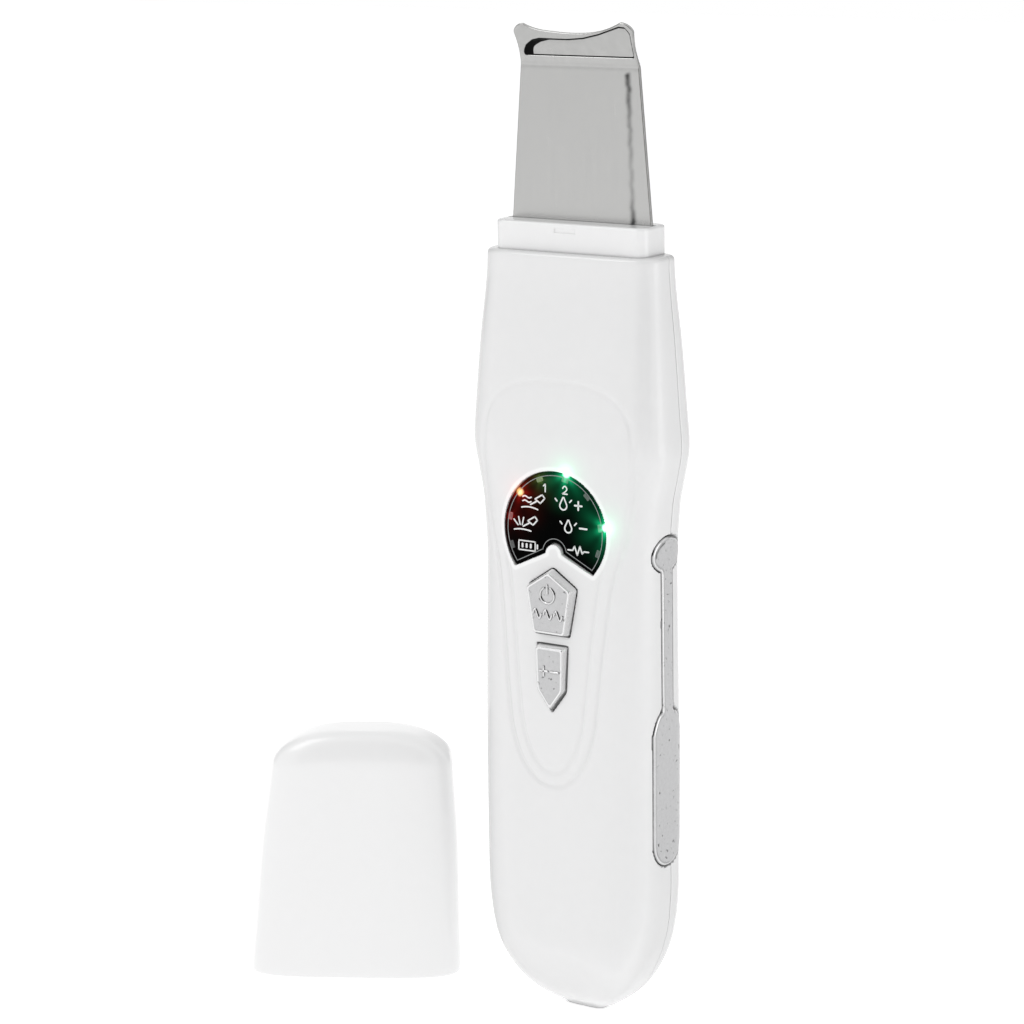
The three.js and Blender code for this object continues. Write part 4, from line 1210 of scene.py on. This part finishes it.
def lamps():
    """Each lamp's diode on the board with its light pipe up to the glass."""
    outline = box_outline(0, 0, 0.42, 0.72, 0.2)
    for number, degrees in enumerate(LAMP_ANGLES, 1):
        c, s = math.cos(math.radians(degrees)), math.sin(math.radians(degrees))
        turned = (outline + (LAMP_RADIUS, 0)) @ np.array([(c, s), (-s, c)])
        shape = stack(Shape(), turned, ((0, -3.1), (0, -0.01), (-0.05, 0.04), (-0.12, 0.06)), on_window)
        piece(f"lamp_{number}", shape, f"lamp_{number}", f"led_{number}")
        if number in BRIGHT_LAMPS:
            lamp_light(number)


def lamp_light(number):
    """A small coloured light in front of a lit lamp, so that it spills onto the white shell."""
    data = bpy.data.lights.new(f"spill_{number}", "POINT")
    data.color = LAMP_LIGHT[number][0]
    data.energy = 0.00012
    data.shadow_soft_size = 0.6 * MM
    in_scene(f"spill_{number}", data).location = Vector(lamp_point(number, 1.6) * MM)


# ---------------------------------------------------------------- buttons


def button(name, outline, body, replaces, signs):
    """A chrome key: steep walls and a rounded rim with painted highlights, and raised signs in a shallow
    dish.
    """
    face, slope, dish = -BUTTON["face"], BUTTON["slope"], 0.05
    levels = [(slope, -BUTTON["skirt"]), (slope, face - 1.75)]
    levels += [(slope * (1 - t), face - 1.75 + 1.6 * t) for t in (0.06, 0.5, 0.9)]
    levels += [(-0.16 * (1 - math.cos(t)), face - 0.15 * (1 - math.sin(t)))
               for t in np.linspace(0.1, math.pi / 2, 6)]
    levels += [(-0.30, face), (-0.36, face), (-0.46, face - dish), (-0.60, face - dish)]
    shape = stack(Shape(), outline, levels, facing_front, BUTTON["corner"])
    relief = ((0, face - dish - 0.1), (0, face - dish + 0.16), (-0.05, face - dish + 0.2))
    for path, width in signs:
        stack(shape, bar_outline(path, width), relief, facing_front)
    obj = piece(name, shape, "chrome_plate", replaces, body)
    proud = -vertex_places(obj)[1] - face
    # Painted highlight: strongest on the walls and the rim's outer rounding, less on the rim's top and the
    # raised signs, none on the skirt and in the dish.
    gleam = np.select([proud < -1.7, proud < -0.08, proud < -0.02, proud < 0.02], [0.0, 0.72, 0.0, 0.5], 0.28)
    paint(obj, "gleam", gleam)


def power_signs():
    """A standby sign over three small waves."""
    ring = arc(-0.1, 81.2, 1.5, math.radians(116), math.radians(424), 30)
    waves = [(wave(start, 1.8, 77.6, 0.8), 0.34) for start in (-3.25, -1.0, 1.25)]
    return [(ring, 0.3), (line((-0.1, 81.5), (-0.1, 83.1)), 0.32), *waves]


def mode_signs():
    """A plus and a minus sign."""
    ends = (((-2.0, 67.0), (-0.3, 67.0)), ((-1.15, 66.15), (-1.15, 67.85)), ((0.35, 67.0), (2.0, 67.0)))
    return [(line(start, end), 0.36) for start, end in ends]


# ---------------------------------------------------------------- hand contacts


def side_strip(name, side, replaces):
    """A chrome strip that follows the body's side, with a rolled rim that dips into its pocket."""
    outline, bevel = strip_outline(), STRIP["bevel"]
    heights = strip_heights()[:, None]
    across = np.cos(np.linspace(math.pi, 0, 29))
    y = STRIP["y"] + across * strip_width(heights)
    z = np.repeat(heights, len(across), 1)
    inward = np.clip(-signed_distance(y.ravel(), z.ravel(), outline)[0].reshape(y.shape), 0, None)
    lift = STRIP["out"] - bevel * (1 - round_out(1 - np.clip(inward / bevel, 0, 1)))
    lift += 0.05 * bell(inward - bevel, 0.16)
    half, front, rear, power = section(z)
    skin = beside(y, half, np.where(y < 0, front, rear), power)
    shape = Shape()
    outer = shape.grid(np.stack([side * (skin + lift), y, z], -1))
    inner = shape.grid(np.stack([side * (skin - 0.62), y, z], -1))
    shape.rim(outer, inner)
    obj = piece(name, shape, "chrome_plate", replaces)
    _, y, z = vertex_places(obj)
    inward = -signed_distance(y, z, outline)[0]
    # Painted shade: a dark line at the strip's edge, a dark furrow just inside its rolled rim and a dark
    # crescent on the front of its head.
    furrow = 0.45 * bell(inward - bevel - 0.12, 0.12) * smooth(0.9, -0.4, y - STRIP["y"])
    crescent = 0.9 * bell(inward - 1.0, 0.2) * (z > 88.4) * (y < STRIP["y"] - 1.0)
    paint(obj, "shade", np.maximum.reduce([0.75 * bell(inward, 0.16), furrow, crescent]))
    # Painted highlight along the rolled rim.
    paint(obj, "gleam", 0.55 * bell(inward - 0.34, 0.13))


# ---------------------------------------------------------------- screws and cap


TURNS = np.linspace(0, 2 * math.pi, 97)[:-1]


def shell_screw(number, x, z, seat):
    """A pan-head screw with a cross recess, on its plain shank."""
    radius, edge, high, shank, middle = 2.0, 0.45, 1.3, 1.1, 0.02
    profile = [(middle, -7.9), (0.7, -7.9), (1.05, -7.2), (shank, 0.05), (radius, 0.05), (radius, edge)]
    for t in np.linspace(0, 1, 40)[1:]:
        out = radius * (1 - t) + middle * t
        profile.append((out, edge + (high - edge) * math.sqrt(1 - (out / radius) ** 2)))
    rings = []
    for out, height in profile:
        dx, dz = out * np.cos(TURNS), out * np.sin(TURNS)
        sunk = cross_depth(dx, dz) if height > edge else np.zeros(len(TURNS))
        rings.append(np.stack([x + dx, seat + height - sunk, z + dz], 1))
    shape = Shape().solid(rings)
    piece(f"shell_screw_fine_{number}", shape, "screw_steel", f"shell_screw_{number}", sharp=30)


def cross_depth(dx, dz):
    """How far the head's face is sunk where the cross recess is."""
    arm, reach = np.minimum(np.abs(dx), np.abs(dz)), np.maximum(np.abs(dx), np.abs(dz))
    return 0.55 * smooth(0.36, 0.24, arm) * smooth(1.35, 1.2, reach)


def cap_ring(form_z, z, inset, scale=1.0):
    """A ring of the cap at height z with the section of height form_z, inset and scaled."""
    angles = np.linspace(0, 2 * math.pi, 193)[:-1]
    angles = angles + 0.2 * np.sin(4 * angles)
    shut = 1 - opening(CAP["height"] - form_z, CAP_DOME["rise"], CAP_DOME["power"])
    half = along(CAP_STATIONS, "half", form_z) - CAP_DOME["narrow"] * shut - inset
    depth = along(CAP_STATIONS, "depth", form_z) - CAP_DOME["thin"] * shut - inset
    c, s = np.cos(angles), np.sin(angles)
    x = half * scale * np.sign(c) * np.abs(c) ** (2 / CAP_POWER) + CAP["lean"] * z
    y = depth * scale * np.sign(s) * np.abs(s) ** (2 / CAP_POWER)
    return np.stack([x, y, np.full(len(angles), z)], 1)


def protective_cap():
    """A hollow cap with a rounded mouth edge, standing open end down."""
    height, wall, lip = CAP["height"], CAP["wall"], CAP["wall"] / 2
    dome = height - CAP_DOME["rise"]
    bow = dome + CAP_DOME["rise"] * np.sin(np.linspace(0, math.pi / 2, 34))
    outside = np.concatenate([np.linspace(0.75, dome, 40), bow[1:]])
    squeeze = (height - wall) / height
    rings = [cap_ring(height, height - wall, 0.8, scale) for scale in (0.05, 0.5, 0.9)]
    rings += [cap_ring(z, z * squeeze, wall * (1 - 0.5 * (z > height - 0.01))) for z in outside[::-1]]
    rings += [cap_ring(0.0, lip * (1 - math.sin(turn)) * 0.85, lip + lip * math.cos(turn))
              for turn in np.linspace(0, math.pi, 9)[1:-1]]
    rings += [cap_ring(z, z, 0.0) for z in outside]
    rings += [cap_ring(height, height + 0.03 * (1 - scale), 0.0, scale)
              for scale in (0.97, 0.8, 0.5, 0.2, 0.05)]
    turn = np.array(Matrix.Rotation(CAP["turn"], 3, "Z"))
    shape = Shape().solid(np.array(rings) @ turn.T + (CAP["x"], CAP["y"], 0))
    piece("protective_cap_fine", shape, "cap_white", "protective_cap", "cap")


# ---------------------------------------------------------------- the CAD nodes that stay


def finish_cad_nodes():
    """Every carried-over node gets the procedural look of its own material slot."""
    slots = {entry["node"]: entry["material_slot"] for entry in frame["record"]["subparts"]}
    for name, obj in frame["nodes"].items():
        obj.data.materials.clear()
        obj.data.materials.append(LOOKS.get(slots[name], LOOKS["lamp_off"]))


# ---------------------------------------------------------------- stage, light and camera


def stage():
    """A pale floor just under the part."""
    material, tree = new_material("pale_floor")
    noise = object_noise(tree, 30)
    set_up(tree, {"Base Color": between(tree, noise, (0.93, 0.93, 0.93), (0.95, 0.95, 0.95)),
                  "Roughness": between(tree, noise, 0.55, 0.7),
                  "Emission Color": (1, 1, 1, 1), "Emission Strength": 0.42})
    places = np.linspace(-2500, 2500, 9)
    shape = Shape()
    shape.grid([[(x, y, 0.0) for x in places] for y in places])
    mesh = shape.mesh("floor")
    mesh.materials.append(material)
    floor = in_scene("floor", mesh)
    floor.location.z = -0.02 * MM


# Dark round patches in the reflected studio: (direction, cosine where it ends, starts, darkness).
DARK_PATCHES = (
    ((0.45, -0.86, 0.25), 0.80, 0.95, 0.06),
    ((0.95, 0.20, 0.15), 0.90, 0.985, 0.6),
    ((-0.95, 0.05, 0.30), 0.86, 0.97, 0.25),
    ((0.10, 0.95, 0.10), 0.80, 0.95, 0.35),
)


def world():
    """White studio air: plain white to the camera, soft white to surfaces, darker patches in reflections."""
    scene_world = bpy.data.worlds.new("studio")
    bpy.context.scene.world = scene_world
    scene_world.use_nodes = True
    tree = scene_world.node_tree
    tree.nodes.clear()
    path = node(tree, "LightPath", {}).outputs
    direction = node(tree, "TexCoord", {}).outputs["Generated"]
    reflected = 1.0
    for towards, edge, core, dark in DARK_PATCHES:
        middle = Vector(towards).normalized()
        dot = vector_calc(tree, "DOT_PRODUCT", {0: direction, 1: middle}, "Value")
        fall = remap(tree, dot, 1.0, dark, edge, core, interpolation_type="SMOOTHSTEP")
        reflected = calc(tree, "MULTIPLY", reflected, fall)
    plain = node(tree, "Background", {"Color": (1, 1, 1, 1)})
    soft = node(tree, "Background", {"Strength": 0.80})
    patches = node(tree, "Background", {"Color": reflected})
    lit = node(tree, "MixShader", {"Fac": path["Is Glossy Ray"], 1: soft.outputs[0], 2: patches.outputs[0]})
    seen = node(tree, "MixShader", {"Fac": path["Is Camera Ray"], 1: lit.outputs[0], 2: plain.outputs[0]})
    node(tree, "OutputWorld", {"Surface": seen.outputs[0]})


def soft_box(name, place, size, energy):
    """A rectangular light that points at the middle of the part; place and size are metres."""
    data = bpy.data.lights.new(name, "AREA")
    data.shape = "RECTANGLE"
    data.size, data.size_y = size
    data.energy = energy
    obj = in_scene(name, data)
    obj.location = Vector(place)
    obj.rotation_euler = (Vector((0, 0, 0.09)) - Vector(place)).to_track_quat("-Z", "Y").to_euler()


def camera():
    """The viewing angle: 34.5 degrees to the right of the front, 12.3 degrees above, a long lens."""
    yaw, pitch, roll = math.radians(34.5), math.radians(12.3), math.radians(-1.03)
    back = Vector((math.sin(yaw) * math.cos(pitch), -math.cos(yaw) * math.cos(pitch), math.sin(pitch)))
    right = Vector((math.cos(yaw), math.sin(yaw), 0))
    up = back.cross(right)
    side = right * math.cos(roll) + up * math.sin(roll)
    top = up * math.cos(roll) - right * math.sin(roll)
    distance, aim, shift_side, shift_top = 589, Vector((0, 0, 92)), -13.24, 2.17
    place = (aim + side * shift_side + top * shift_top + back * distance) * MM
    data = bpy.data.cameras.new("camera")
    data.sensor_width = 36
    data.lens = 113.6
    matrix = Matrix((side, top, back)).transposed().to_4x4()
    matrix.translation = place
    obj = in_scene("camera", data)
    obj.matrix_world = matrix
    bpy.context.scene.camera = obj


# ---------------------------------------------------------------- assembly

front_cover()
rear_cover()
neck_collar()
scraper_blade()
display()
lamps()
button("power_button_fine", POWER_OUTLINE, "power_key", "power_button", power_signs())
button("mode_button_fine", MODE_OUTLINE, "mode_key", "mode_button", mode_signs())
side_strip("side_electrode_left_fine", -1, "side_electrode_left")
side_strip("side_electrode_right_fine", 1, "side_electrode_right")
for screw_number, screw_place in enumerate(SCREWS, 1):
    shell_screw(screw_number, *screw_place)
    screw_boss(screw_number, *screw_place)
protective_cap()
finish_cad_nodes()

stage()
world()
soft_box("key", (-0.35, -0.55, 0.75), (0.5, 0.5), 2.0)
soft_box("side", (0.42, 0.06, 0.12), (0.24, 0.34), 0.30)
camera()
bpy.context.scene.view_settings.view_transform = "Standard"
